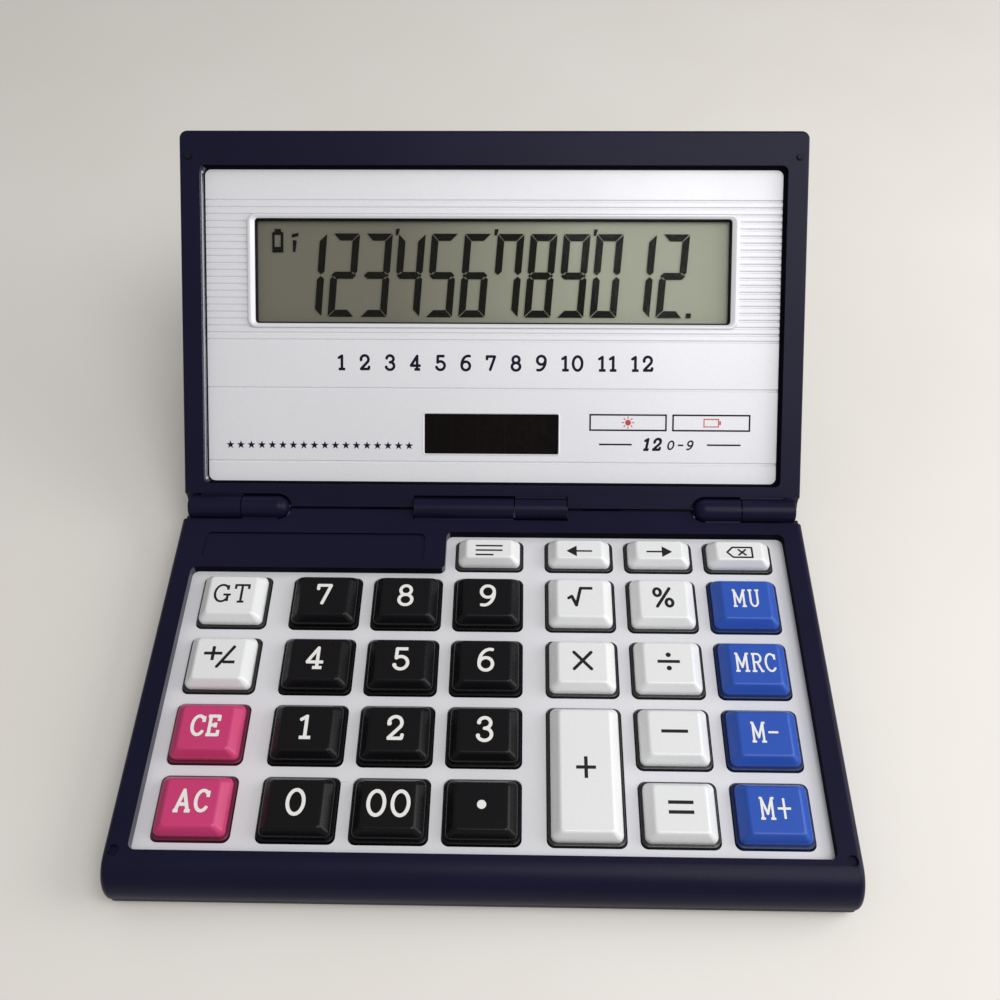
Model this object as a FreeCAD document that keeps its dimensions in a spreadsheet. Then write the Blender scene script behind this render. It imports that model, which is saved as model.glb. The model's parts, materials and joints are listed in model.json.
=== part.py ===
import FreeCAD, Part
import math
import os
import re
import Sketcher

# Folding desk calculator: keypad base and display lid on two pin hinges.
# World frame: X to the right, Y to the rear, Z up from the desk.
# Lid pieces are drawn in the lid's own frame: X right, Y up the lid from the hinge axis,
# Z out of the display face. Their Placement leans them back onto the stop ribs.

doc = FreeCAD.newDocument("folding_desk_calculator")
sheet = doc.addObject("Spreadsheet::Sheet", "sheet")

SIZES = [
    ("width", "160", "overall width of base and lid"),
    ("base_reach", "97.6", "hinge axis to the front of the base"),
    ("lid_reach", "96.2", "hinge axis to the far edge of the lid"),
    ("lid_lean", "49", "lean of the open lid from upright, degrees"),
    ("closed_gap", "0.4", "gap between bezel and lid face when shut"),
    ("hinge_clear", "0.3", "gap from the hinge axis to each rear wall"),
    ("wall", "2", "side wall thickness"),
    ("face_wall", "2.4", "bezel thickness, the depth of both panels"),
    ("floor_thick", "1.6", "bottom and back wall thickness"),
    ("case_inset", "0.35", "step from the upper to the lower shell"),
    ("case_seam", "4.6", "height of the base seam over the desk"),
    ("lid_seam", "6.5", "depth of the lid seam behind its face"),
    ("nose_round", "7", "bullnose radius of the base front"),
    ("edge_round", "1.6", "radius of the base side edges"),
    ("lid_round", "2", "radius of the lid's far corners"),
    ("lid_edge", "0.7", "radius of the lid's face edges"),
    ("frame_round", "1.6", "corner radius of panel openings"),
    ("base_side", "5.3", "bezel width at the sides"),
    ("base_front_band", "8.1", "bezel width at the front"),
    ("base_rear_band", "7.2", "hinge axis to the panel opening, right"),
    ("ledge_band", "18.4", "hinge axis to the panel opening, left"),
    ("recess_deep", "0.5", "depth of the recess in the ledge"),
    ("recess_near", "7.8", "hinge axis to the recess"),
    ("recess_far", "16.4", "hinge axis to the recess's front"),
    ("panel_thick", "1.2", "thickness of both silver panels"),
    ("panel_over", "1.2", "panel hidden behind the opening's edge"),
    ("key_bar_side", "2.7", "panel left between two keys of a row"),
    ("key_bar_front", "2.4", "panel left between two rows"),
    ("group_gap", "2.6", "extra panel between key groups"),
    ("front_margin", "2.3", "panel in front of the first row"),
    ("rear_margin", "1.6", "panel behind the last full row"),
    ("small_margin", "1.3", "panel behind the small row"),
    ("small_open_deep", "9.4", "small key opening depth"),
    ("key_gap_side", "0.5", "gap beside a key"),
    ("key_gap_front", "0.6", "gap before and behind a key"),
    ("opening_round", "1.7", "corner radius of a key opening"),
    ("flange_over", "0.55", "key flange beyond its opening"),
    ("flange_thick", "1", "key flange thickness"),
    ("skirt_rise", "1.2", "upright part of a key over the panel"),
    ("slope_rise", "2.8", "sloped part of a key"),
    ("slope_side", "2.4", "run of a key's side slopes"),
    ("slope_front", "2", "run of a key's front and rear slopes"),
    ("small_slope", "1.5", "run of a small key's front slope"),
    ("key_round", "1.3", "corner radius of a key's skirt"),
    ("key_top_round", "1.1", "corner radius of a key's top"),
    ("key_top_edge", "0.35", "edge radius of a key's top"),
    ("plunger_round", "2.2", "radius of a key's plunger"),
    ("stroke_spare", "0.2", "room left under a plunger at full stroke"),
    ("stem_drop", "0.5", "plunger below its flange"),
    ("key_travel", "1.5", "stroke of a key"),
    ("board_thick", "1.2", "thickness of both boards"),
    ("board_lift", "0.8", "key board over the floor"),
    ("sheet_thick", "0.8", "thickness of the dome sheet"),
    ("dome_round", "4.2", "radius of a dome's foot"),
    ("dome_top", "2.4", "radius of a dome's top"),
    ("dome_skin", "0.6", "wall of a dome"),
    ("seat_gap", "0.05", "gap between a dome and its plunger"),
    ("post_round", "1.4", "radius of the clamp posts"),
    ("foot_high", "0.8", "rubber foot below the bottom case"),
    ("foot_sunk", "0.4", "rubber foot inside its pocket"),
    ("foot_round", "4", "radius of a rubber foot"),
    ("foot_rear", "5.4", "hinge axis to the rear feet"),
    ("fit_gap", "0.1", "gap round inlaid pieces"),
    ("knuckle_round", "3", "radius of the hinge knuckles"),
    ("cap_gap_side", "1.6", "end cap inside the side of the base"),
    ("cap_long", "2.7", "length of an end cap"),
    ("lid_knuckle_long", "11.2", "length of a lid knuckle"),
    ("base_knuckle_long", "12.1", "length of a base knuckle with its round end"),
    ("trough_gap", "0.6", "gap between knuckle and trough"),
    ("trough_skin", "1.4", "shell behind a trough"),
    ("knuckle_gap", "0.3", "gap between knuckles"),
    ("pin_round", "1", "radius of a hinge pin"),
    ("pin_clear", "0.05", "running clearance of a hinge pin"),
    ("cap_spigot", "1.6", "radius of an end cap's spigot"),
    ("spigot_long", "1.5", "length of an end cap's spigot"),
    ("bar_half", "19.7", "half length of the centre bar"),
    ("bar_round", "2.8", "radius of the centre bar"),
    ("bar_split", "6.2", "where base and lid bars meet"),
    ("lead_round", "1", "radius of the wire lead"),
    ("lead_bore", "1.4", "radius of the lead's passage"),
    ("lead_drop", "6.8", "diagonal run of the base lead"),
    ("lid_lead_drop", "6.4", "diagonal run of the lid lead"),
    ("web_deep", "5", "depth of the web under a knuckle"),
    ("stop_wide", "10", "width of a stop rib"),
    ("stop_near", "2.2", "stop rib begins behind the lid face"),
    ("stop_far", "5.6", "stop rib ends behind the lid face"),
    ("stop_root", "4.4", "stop rib reach into the rear wall"),
    ("stop_gap", "0.1", "gap at the stop when open"),
    ("screw_round", "1", "radius of a screw shank"),
    ("screw_head", "1.9", "radius of a screw head"),
    ("head_high", "1.4", "height of a screw head"),
    ("head_sunk", "0.4", "screw head below the surface"),
    ("thread_clear", "0.05", "gap round a screw shank in its boss"),
    ("well_gap", "0.2", "gap round a screw head"),
    ("boss_round", "2.2", "radius of an upper boss"),
    ("well_wall", "0.6", "wall of a screw well"),
    ("boss_rear", "3.4", "hinge axis to the rear bosses"),
    ("drive_wide", "0.5", "width of the cross recess"),
    ("drive_deep", "0.6", "depth of the cross recess"),
    ("cell_round", "5.8", "radius of the button cell"),
    ("cell_high", "5.4", "height of the button cell"),
    ("cell_near", "10.8", "hinge axis to the cell"),
    ("cup_gap", "0.3", "gap round the cell"),
    ("cup_wall", "1.1", "wall of the battery cup"),
    ("door_thick", "1.2", "battery door thickness"),
    ("door_half", "7", "half depth of the battery door"),
    ("door_screw_round", "0.8", "radius of the door screw"),
    ("door_screw_head", "1.4", "radius of the door screw head"),
    ("contact_thick", "0.3", "thickness of the contact strips"),
    ("contact_wide", "3", "width of the contact strips"),
    ("lid_side", "5.2", "lid frame width at the sides"),
    ("lid_open_near", "6.1", "hinge axis to the lid's opening"),
    ("surround_side", "2", "raised surround at the sides"),
    ("view_high", "26.8", "height of the display opening"),
    ("surround_end", "1.1", "raised surround above and below"),
    ("surround_high", "0.6", "height of the raised surround"),
    ("groove_pitch", "1.78", "groove pitch"),
    ("groove_wide", "0.45", "groove width"),
    ("groove_deep", "0.25", "groove depth"),
    ("line_wide", "0.7", "width of the single grooves"),
    ("solar_half", "17.5", "half width of the solar window"),
    ("solar_high", "10.4", "height of the solar window"),
    ("solar_thick", "1.2", "thickness of the solar cell"),
    ("glass_over", "1.1", "glass hidden behind its opening"),
    ("window_thick", "0.8", "thickness of the clear window"),
    ("glass_thick", "2.2", "thickness of the display glass"),
    ("strip_high", "0.6", "height of the connector strip"),
    ("strip_wide", "2", "width of the connector strip"),
    ("chip_round", "4", "radius of the chip cover"),
    ("chip_top", "2.6", "top radius of the chip cover"),
    ("chip_high", "0.9", "height of the chip cover"),
    ("pip_round", "0.8", "radius of a closing pip"),
    ("pip_high", "0.6", "closing pip over the lid face"),
    ("pip_sunk", "1.4", "closing pip inside the frame"),
    ("dimple_round", "1.2", "radius of the dimples in the bezel"),
    ("dimple_deep", "0.9", "depth of the dimples"),
    ("nub_long", "2.7", "length of the grip nub"),
    ("nub_out", "0.6", "grip nub beyond the lid's side"),
    ("nub_deep", "3", "grip nub behind the lid face"),
    ("ledge_margin", "2.35", "panel beside the ledge"),
    ("recess_inset", "7.2", "recess inside the base's side"),
    ("recess_end", "5.4", "recess short of the ledge's end"),
    ("lead_inset", "3.5", "lead beyond the ledge's end"),
    ("foot_inset_side", "11", "feet inside the sides"),
    ("foot_inset_front", "11.6", "front feet inside the front"),
    ("boss_inset_front", "4.3", "front bosses inside the front"),
    ("boss_inset_side", "18", "outer bosses inside the sides"),
    ("cell_inset", "35", "cell inside the left side"),
    ("door_past_left", "9.4", "battery door left of the cell"),
    ("door_past_right", "12.4", "battery door right of the cell"),
    ("door_screw_past", "9.8", "door screw right of the cell"),
    ("boss_past_door", "5.6", "rear boss clear of the door"),
    ("lid_boss_inset", "3.9", "lid bosses inside the far edge"),
    ("lid_far_band", "8.6", "lid frame width at the far edge"),
    ("view_inset", "18.6", "display opening inside the lid's side"),
    ("view_margin", "13", "panel above the display opening"),
    ("groove_past", "4.3", "ribbed band below the display opening"),
    ("line_margin", "5.8", "lower groove over the panel's edge"),
    ("line_past", "16.8", "upper groove below the display"),
    ("solar_margin", "8.1", "solar window over the panel's edge"),
    ("strip_inset", "6.4", "connector strip inside the display"),
    ("board_past_side", "2.6", "display board beyond the display"),
    ("board_past_near", "17.8", "display board below the display"),
    ("board_past_far", "4.4", "display board above the display"),
    ("chip_past", "9.3", "chip cover below the display"),
    ("pip_inset_side", "2.4", "closing pips inside the sides"),
    ("pip_inset_far", "6.5", "closing pips inside the far edge"),
    ("nub_inset", "35", "grip nub below the far edge"),
    ("stop_past_bar", "4.3", "stop rib beyond the centre bar"),
    ("overcut", "1", "length by which a cut runs past a face"),
    ("root", "0.4", "depth to which an added boss or rib is sunk"),
    ("hole_clear", "0.15", "gap round a shank in its clearance hole"),
    ("web_root", "0.5", "web beyond its knuckle"),
    ("web_top", "0.6", "web below the hinge axis"),
    ("board_edge", "0.8", "key board inside the panel opening"),
    ("sheet_edge", "1.4", "dome sheet inside the panel opening"),
    ("drive_share", "0.65", "reach of the cross recess over the head's radius"),
    ("boss_nose", "0.3", "upper boss below the seam"),
    ("weld", "0.1", "overlap that joins two solids"),
    ("bore_end", "0.8", "screw bore short of the bezel"),
    ("lid_bore_end", "0.5", "screw bore short of the display panel"),
    ("tip_gap", "0.3", "screw tip short of its bore"),
    ("rest_flare", "0.8", "board rest wider than the clamp post"),
    ("door_boss_high", "2.6", "height of the door screw's boss"),
    ("door_boss_wall", "1.1", "wall of the door screw's boss"),
    ("door_head_high", "0.7", "height of the door screw's head"),
    ("contact_lift", "0.6", "side contact over the battery door"),
    ("contact_past", "1", "top contact beyond the cell"),
    ("contact_gap", "0.02", "gap between cell and side contact"),
    ("lead_gap", "0.05", "half the gap between the two lead halves"),
    ("lead_end", "4", "length of the base lead's end"),
    ("lid_lead_over", "3", "lid lead over the display board"),
    ("plunger_past", "2", "plunger wider than deep"),
    ("nub_round", "0.9", "radius of the grip nub"),
    ("press_clear", "0.01", "clearance of a pressed pin"),
    ("spigot_room", "0.2", "room behind an end cap's spigot"),
    ("pin_end", "1.6", "hinge pin short of the knuckle's end"),
    ("half_wide", "=width / 2", "half width"),
    ("panel_low", "=plunger_low + stem_drop + flange_thick", "underside of the keypad panel"),
    ("panel_top", "=panel_low + panel_thick", "top of the keypad panel"),
    ("base_top", "=panel_top + face_wall", "desk to the top of the bezel"),
    ("glass_stack", "=window_thick + glass_thick + strip_high", "display window, glass and strip"),
    (
        "lid_thick",
        "=face_wall + panel_thick + glass_stack + board_thick + floor_thick",
        "thickness of the lid",
    ),
    ("knuckle_out", "=half_wide - cap_gap_side", "outer end of the hinge from centre"),
    ("knuckle_cap", "=knuckle_out - cap_long", "where the end cap begins"),
    ("knuckle_split", "=knuckle_cap - lid_knuckle_long", "where base and lid knuckles meet"),
    ("knuckle_in", "=knuckle_split - base_knuckle_long", "inner end of the hinge from centre"),
    ("col_pitch", "=width / 8", "key pitch across a group"),
    ("group_pitch", "=col_pitch + group_gap", "key pitch between groups"),
    ("key_open_wide", "=col_pitch - key_bar_side", "key opening width"),
    ("panel_deep", "=base_reach - base_front_band - ledge_band", "depth of the panel beside the ledge"),
    (
        "row_pitch",
        "=(panel_deep - front_margin - rear_margin + key_bar_front) / 4",
        "key pitch front to rear",
    ),
    ("key_open_deep", "=row_pitch - key_bar_front", "key opening depth"),
    (
        "front_row",
        "=base_reach - base_front_band - front_margin - key_open_deep / 2",
        "hinge axis to the front row",
    ),
    (
        "small_row",
        "=base_rear_band + small_margin + small_open_deep / 2",
        "hinge axis to the small row",
    ),
    ("ledge_end", "=key_open_wide / 2 + ledge_margin", "left of centre where the ledge ends"),
    ("recess_left", "=half_wide - recess_inset", "left end of the recess"),
    ("recess_right", "=ledge_end + recess_end", "right end of the recess"),
    ("lead_side", "=ledge_end + lead_inset", "lead left and right of centre"),
    ("foot_side", "=half_wide - foot_inset_side", "feet left and right of centre"),
    ("foot_front", "=base_reach - foot_inset_front", "hinge axis to the front feet"),
    ("boss_front", "=base_reach - boss_inset_front", "hinge axis to the front bosses"),
    ("boss_side", "=half_wide - boss_inset_side", "outer bosses from centre"),
    ("cell_left", "=half_wide - cell_inset", "cell left of centre"),
    ("door_left", "=cell_left + door_past_left", "left end of the battery door"),
    ("door_right", "=cell_left - door_past_right", "right end of the battery door"),
    ("door_screw_left", "=cell_left - door_screw_past", "door screw left of centre"),
    ("boss_rear_side", "=door_right - boss_past_door", "rear bosses from centre"),
    ("lid_boss_far", "=lid_reach - lid_boss_inset", "hinge axis to the lid's far bosses"),
    ("lid_open_far", "=lid_reach - lid_far_band", "hinge axis to the opening's far edge"),
    ("view_half", "=half_wide - view_inset", "half width of the display opening"),
    ("view_far", "=lid_open_far - view_margin", "hinge axis to its far edge"),
    ("view_near", "=view_far - view_high", "hinge axis to the display opening"),
    ("groove_near", "=view_near - groove_past", "first groove of the ribbed band"),
    ("line_near", "=lid_open_near + line_margin", "lower single groove"),
    ("line_far", "=view_near - line_past", "upper single groove"),
    ("solar_near", "=lid_open_near + solar_margin", "hinge axis to the solar window"),
    ("solar_far", "=solar_near + solar_high", "hinge axis to its far edge"),
    ("strip_half", "=view_half - strip_inset", "half length of the connector strip"),
    ("lid_board_half", "=view_half + board_past_side", "half width of the display board"),
    ("lid_board_near", "=view_near - board_past_near", "hinge axis to the display board"),
    ("lid_board_far", "=view_far + board_past_far", "hinge axis to its far edge"),
    ("chip_near", "=view_near - chip_past", "hinge axis to the chip cover"),
    ("pip_side", "=half_wide - pip_inset_side", "closing pips from centre"),
    ("pip_far", "=lid_reach - pip_inset_far", "hinge axis to the closing pips"),
    ("nub_far", "=lid_reach - nub_inset", "hinge axis to the grip nub"),
    ("stop_side", "=bar_half + stop_past_bar", "stop rib from centre"),
    ("hinge_z", "=base_top + closed_gap / 2", "height of the hinge axis"),
    (
        "hinge_y",
        "=(base_reach - lid_reach * sin(lid_lean) - lid_thick * cos(lid_lean)) / 2",
        "hinge axis behind the middle of the whole part",
    ),
    ("face", "=-closed_gap / 2", "lid face in the lid's frame"),
    ("floor_top", "=foot_high + floor_thick", "top of the bottom case's floor"),
    ("board_top", "=floor_top + board_lift + board_thick", "top of the key board"),
    ("sheet_top", "=board_top + sheet_thick", "top of the dome sheet"),
    ("plunger_low", "=sheet_top + key_travel + stroke_spare", "foot of a plunger"),
    ("lid_panel", "=face - face_wall", "front of the display panel"),
    ("lid_panel_back", "=lid_panel - panel_thick", "back of the display panel"),
    ("glass_front", "=lid_panel_back - window_thick", "front of the display glass"),
    ("glass_back", "=glass_front - glass_thick", "back of the display glass"),
    ("lid_back", "=face - lid_thick", "outside of the lid's back"),
    ("lid_floor", "=lid_back + floor_thick", "inside of the lid's back"),
    ("lid_board_front", "=lid_floor + board_thick", "front of the display board"),
    ("trough_round", "=knuckle_round + trough_gap", "radius of a hinge trough"),
    ("trough_keep", "=trough_round + trough_skin", "outside of a trough's shell"),
    ("bar_trough", "=bar_round + trough_gap", "radius of the bar's trough"),
    ("bar_keep", "=bar_trough + trough_skin", "outside of its shell"),
]

NEAR = 0.01
ALIASES = set()
for row, (alias, value, note) in enumerate(SIZES, start=1):
    sheet.set("A%d" % row, note)
    sheet.set("B%d" % row, value)
    sheet.setAlias("B%d" % row, alias)
    ALIASES.add(alias)
doc.recompute()


def bound(text):
    """Turn plain names of sizes into references to the sheet."""
    def swap(found):
        word = found.group(0)
        return "sheet." + word if word in ALIASES else word
    return re.sub(r"[a-z_]+", swap, text)


def size(text):
    """Read the present value of an expression of sizes."""
    return float(sheet.evalExpression(bound(text)))


def bind(thing, **links):
    """Bind properties of an object to expressions of sizes."""
    for name, text in links.items():
        thing.setExpression(name.replace("__", "."), bound(text))


def block(name, x_from, x_to, y_from, y_to, z_from, z_to):
    """A box between two limits on each axis."""
    box = doc.addObject("Part::Box", name)
    bind(box, Length="(%s) - (%s)" % (x_to, x_from))
    bind(box, Width="(%s) - (%s)" % (y_to, y_from))
    bind(box, Height="(%s) - (%s)" % (z_to, z_from))
    bind(box, Placement__Base__x=x_from, Placement__Base__y=y_from, Placement__Base__z=z_from)
    return box


def rod(name, x, y, z_from, z_to, radius):
    """An upright cylinder."""
    cylinder = doc.addObject("Part::Cylinder", name)
    bind(cylinder, Radius=radius, Height="(%s) - (%s)" % (z_to, z_from))
    bind(cylinder, Placement__Base__x=x, Placement__Base__y=y, Placement__Base__z=z_from)
    return cylinder


def rod_across(name, x_from, x_to, y, z, radius):
    """A cylinder along the X axis."""
    cylinder = doc.addObject("Part::Cylinder", name)
    turn = FreeCAD.Rotation(FreeCAD.Vector(0, 1, 0), 90)
    cylinder.Placement = FreeCAD.Placement(FreeCAD.Vector(0, 0, 0), turn)
    bind(cylinder, Radius=radius, Height="(%s) - (%s)" % (x_to, x_from))
    bind(cylinder, Placement__Base__x=x_from, Placement__Base__y=y, Placement__Base__z=z)
    return cylinder


def rod_slanted(name, x, y, z, run, radius, toward):
    """A cylinder from a point, sloping down at 45 degrees to the front or the rear."""
    cylinder = doc.addObject("Part::Cylinder", name)
    turn = FreeCAD.Rotation(FreeCAD.Vector(0, 0, 1), FreeCAD.Vector(0, toward, -1))
    cylinder.Placement = FreeCAD.Placement(FreeCAD.Vector(0, 0, 0), turn)
    bind(cylinder, Radius=radius, Height="(%s) * sqrt(2)" % run)
    bind(cylinder, Placement__Base__x=x, Placement__Base__y=y, Placement__Base__z=z)
    return cylinder


def rod_along(name, x, y_from, y_to, z, radius):
    """A cylinder along the Y axis."""
    cylinder = doc.addObject("Part::Cylinder", name)
    turn = FreeCAD.Rotation(FreeCAD.Vector(1, 0, 0), -90)
    cylinder.Placement = FreeCAD.Placement(FreeCAD.Vector(0, 0, 0), turn)
    bind(cylinder, Radius=radius, Height="(%s) - (%s)" % (y_to, y_from))
    bind(cylinder, Placement__Base__x=x, Placement__Base__y=y_from, Placement__Base__z=z)
    return cylinder


def ball(name, x, y, z, radius):
    """A sphere."""
    sphere = doc.addObject("Part::Sphere", name)
    bind(sphere, Radius=radius)
    bind(sphere, Placement__Base__x=x, Placement__Base__y=y, Placement__Base__z=z)
    return sphere


def cone(name, x, y, z_from, z_to, foot, top):
    """An upright truncated cone."""
    thing = doc.addObject("Part::Cone", name)
    bind(thing, Radius1=foot, Radius2=top, Height="(%s) - (%s)" % (z_to, z_from))
    bind(thing, Placement__Base__x=x, Placement__Base__y=y, Placement__Base__z=z_from)
    return thing


def join(name, things):
    """Fuse several solids into one."""
    if len(things) == 1:
        return things[0]
    fused = doc.addObject("Part::MultiFuse", name)
    fused.Shapes = things
    fused.Refine = True
    return fused


def take(name, base, tools):
    """Cut one or more tools out of a base."""
    result = doc.addObject("Part::Cut", name)
    result.Base = base
    result.Tool = join(name + "_tools", tools)
    result.Refine = True
    return result


def gather(name, things):
    """Keep several separate solids as one node."""
    group = doc.addObject("Part::Compound", name)
    group.Links = things
    return group


def soften(name, base, rounds):
    """Fillet the edges that each test picks, with the radius named beside it."""
    doc.recompute()
    filleted = doc.addObject("Part::Fillet", name)
    filleted.Base = base
    chosen = []
    for alias, test in rounds:
        radius = size(alias)
        for index, edge in enumerate(base.Shape.Edges, start=1):
            middle = edge.valueAt((edge.FirstParameter + edge.LastParameter) / 2)
            if test(edge, middle):
                chosen.append((index, radius, radius))
    filleted.Edges = chosen
    doc.recompute()
    return filleted


def upright(edge, middle):
    """True for a straight edge along Z."""
    if not isinstance(edge.Curve, Part.Line):
        return False
    return abs(abs(edge.Curve.Direction.z) - 1) < 1e-6


def sideways(edge):
    """True for a straight edge along X."""
    if not isinstance(edge.Curve, Part.Line):
        return False
    return abs(abs(edge.Curve.Direction.x) - 1) < 1e-6


def rounded_block(name, x_from, x_to, y_from, y_to, z_from, z_to, radius):
    """A box with its four upright edges rounded."""
    sharp = block(name + "_sharp", x_from, x_to, y_from, y_to, z_from, z_to)
    return soften(name, sharp, [(radius, upright)])


LEFT_RIGHT = [("left", "-1"), ("right", "1")]
GROOVE_COUNT = 21


def behind(text):
    """World Y of a place given as its distance in front of the hinge axis."""
    return "hinge_y - (%s)" % text


def span(side, near, far):
    """Limits along X of a stretch given from the centre outwards, on one side."""
    if side == "left":
        return "-(%s)" % far, "-(%s)" % near
    return near, far


def hinge_space(name, radius, bar_radius, y, z):
    """Solids round the hinge axis: one at each barrel, one along the centre bar."""
    things = []
    for side, sign in LEFT_RIGHT:
        low, high = span(side, "knuckle_in + knuckle_round", "half_wide + overcut")
        things.append(rod_across("%s_%s" % (name, side), low, high, y, z, radius))
        middle = "%s * (knuckle_in + knuckle_round)" % sign
        things.append(ball("%s_%s_end" % (name, side), middle, y, z, radius))
    low, high = "-bar_half - knuckle_gap", "bar_half + knuckle_gap"
    things.append(rod_across(name + "_bar", low, high, y, z, bar_radius))
    return things


def panel_outline(name, margin, z_from, z_to):
    """The stepped outline of the keypad panel, grown by a margin, with rounded corners."""
    side = "half_wide - base_side + (%s)" % margin
    front = behind("base_reach - base_front_band + (%s)" % margin)
    wide = block(name + "_wide", "-(%s)" % side, side, front,
                 behind("ledge_band - (%s)" % margin), z_from, z_to)
    deep = block(name + "_deep", "-ledge_end - (%s)" % margin, side, front,
                 behind("base_rear_band - (%s)" % margin), z_from, z_to)
    whole = join(name + "_whole", [wide, deep])
    return soften(name, whole, [("frame_round", upright)])


# Screws and their places

BASE_SCREWS = [
    ("-boss_side", behind("boss_front")),
    ("0", behind("boss_front")),
    ("boss_side", behind("boss_front")),
    ("-boss_rear_side", behind("boss_rear")),
    ("boss_rear_side", behind("boss_rear")),
]
LID_SCREWS = [
    ("-boss_side", "lid_boss_far"),
    ("0", "lid_boss_far"),
    ("boss_side", "lid_boss_far"),
    ("-boss_rear_side", "boss_rear"),
    ("boss_rear_side", "boss_rear"),
]


def screw(name, x, y, surface, tip, head, shank, high, sunk):
    """A cross-recessed screw whose head looks down from a surface below it."""
    low = "(%s) + (%s)" % (surface, sunk)
    seat = "(%s) + (%s)" % (low, high)
    whole = join(name + "_blank", [
        rod(name + "_head", x, y, low, seat, head),
        rod(name + "_shank", x, y, seat, tip, shank),
    ])
    arm = "(%s) * drive_share" % head
    slots = [
        block(name + "_slot_x", "(%s) - (%s)" % (x, arm), "(%s) + (%s)" % (x, arm),
              "(%s) - drive_wide / 2" % y, "(%s) + drive_wide / 2" % y,
              low + " - overcut", low + " + drive_deep"),
        block(name + "_slot_y", "(%s) - drive_wide / 2" % x, "(%s) + drive_wide / 2" % x,
              "(%s) - (%s)" % (y, arm), "(%s) + (%s)" % (y, arm),
              low + " - overcut", low + " + drive_deep"),
    ]
    return take(name, whole, slots)


# Base: top case

rear_face = behind("hinge_clear")
front_face = behind("base_reach")

shell_block = block("shell_block", "-half_wide", "half_wide", front_face, rear_face,
                    "case_seam", "base_top")


def nose_edge(edge, middle):
    """The top front edge of the shell."""
    if not sideways(edge) or middle.z < size("base_top") - NEAR:
        return False
    return middle.y < size("hinge_y - base_reach / 2")


shell_nose = soften("shell_nose", shell_block, [("nose_round", nose_edge)])


def side_edge(edge, middle):
    """The chain up the front corners, over the bullnose and along the side edges."""
    if abs(abs(middle.x) - size("half_wide")) > NEAR:
        return False
    if middle.z < size("case_seam") + NEAR:
        return False
    return middle.y < size(rear_face) - NEAR


shell = soften("shell", shell_nose, [("edge_round", side_edge)])

hollow_block = block("hollow_block", "wall - half_wide", "half_wide - wall",
                     front_face + " + wall", rear_face + " - wall",
                     "case_seam - overcut", "panel_top")


def hollow_nose(edge, middle):
    """The top front edge of the hollow."""
    if not sideways(edge) or middle.z < size("panel_top") - NEAR:
        return False
    return middle.y < size("hinge_y - base_reach / 2")


hollow_round = soften("hollow_round", hollow_block, [("nose_round - wall", hollow_nose)])
hollow = take("hollow", hollow_round,
              hinge_space("base_keep", "trough_keep", "bar_keep", "hinge_y", "hinge_z"))

case_bosses = []
boss_bores = []
for number, (x, y) in enumerate(BASE_SCREWS, start=1):
    case_bosses.append(rod("case_boss_%d" % number, x, y, "case_seam - boss_nose",
                           "panel_top + weld", "boss_round"))
    boss_bores.append(rod("boss_bore_%d" % number, x, y, "case_seam - overcut",
                          "panel_top - bore_end", "screw_round + thread_clear"))

shell_open = take("shell_open", shell, [hollow])
shell_bossed = join("shell_bossed", [shell_open] + case_bosses)

ledge_recess = rounded_block("ledge_recess", "-recess_left", "-recess_right",
                             behind("recess_far"), behind("recess_near"),
                             "base_top - recess_deep", "base_top + overcut", "frame_round")
case_opening = panel_outline("case_opening", "0", "panel_top - overcut", "base_top + overcut")
case_cuts = [case_opening, ledge_recess]
case_cuts += hinge_space("base_trough", "trough_round", "bar_trough", "hinge_y", "hinge_z")
case_cuts += boss_bores
for side, sign in LEFT_RIGHT:
    case_cuts.append(rod("dimple_" + side, sign + " * pip_side", behind("pip_far"),
                         "base_top - dimple_deep", "base_top + overcut", "dimple_round"))
case_cut = take("case_cut", shell_bossed, case_cuts)

hinge_adds = []
hinge_holes = []
for side, sign in LEFT_RIGHT:
    low, high = span(side, "knuckle_in + knuckle_round", "knuckle_split - knuckle_gap / 2")
    hinge_adds.append(rod_across("base_knuckle_" + side, low, high, "hinge_y", "hinge_z",
                                 "knuckle_round"))
    hinge_adds.append(ball("base_knuckle_end_" + side, sign + " * (knuckle_in + knuckle_round)",
                           "hinge_y", "hinge_z", "knuckle_round"))
    hinge_adds.append(block("base_web_" + side, low, high, behind("knuckle_round + web_root"),
                            "hinge_y", "hinge_z - web_deep", "hinge_z - web_top"))
    low, high = span(side, "knuckle_in + pin_round", "half_wide")
    hinge_holes.append(rod_across("base_pin_bore_" + side, low, high, "hinge_y", "hinge_z",
                                  "pin_round + pin_clear"))
    low, high = span(side, "stop_side", "stop_side + stop_wide")
    rib = block("stop_rib_" + side, low, high, "-stop_root", "hinge_clear - stop_gap",
                "-stop_far", "-stop_near")
    lean = FreeCAD.Rotation(FreeCAD.Vector(1, 0, 0), 90 - size("lid_lean"))
    carried = doc.addObject("Part::Compound", "stop_rib_leaning_" + side)
    carried.Links = [rib]
    carried.Placement = FreeCAD.Placement(
        FreeCAD.Vector(0, size("hinge_y"), size("hinge_z")), lean)
    hinge_adds.append(carried)
hinge_adds.append(rod_across("base_bar", "-bar_half", "bar_split - knuckle_gap / 2",
                             "hinge_y", "hinge_z", "bar_round"))
hinge_adds.append(block("base_bar_web", "-bar_half", "bar_split - knuckle_gap / 2",
                        behind("bar_round + web_root"), "hinge_y",
                        "hinge_z - web_deep", "hinge_z - web_top"))
hinge_holes.append(rod_across("base_lead_bore", "-lead_side - lead_bore", "bar_half",
                              "hinge_y", "hinge_z", "lead_bore"))
hinge_holes.append(rod_slanted("base_lead_slant", "-lead_side", "hinge_y", "hinge_z",
                               "lead_drop + 2 * overcut", "lead_bore - fit_gap", -1))
case_hinged = join("case_hinged", [case_cut] + hinge_adds)
base_top_case = take("base_top_case", case_hinged, hinge_holes)

# Base: bottom case with wells, cup and pockets

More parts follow.
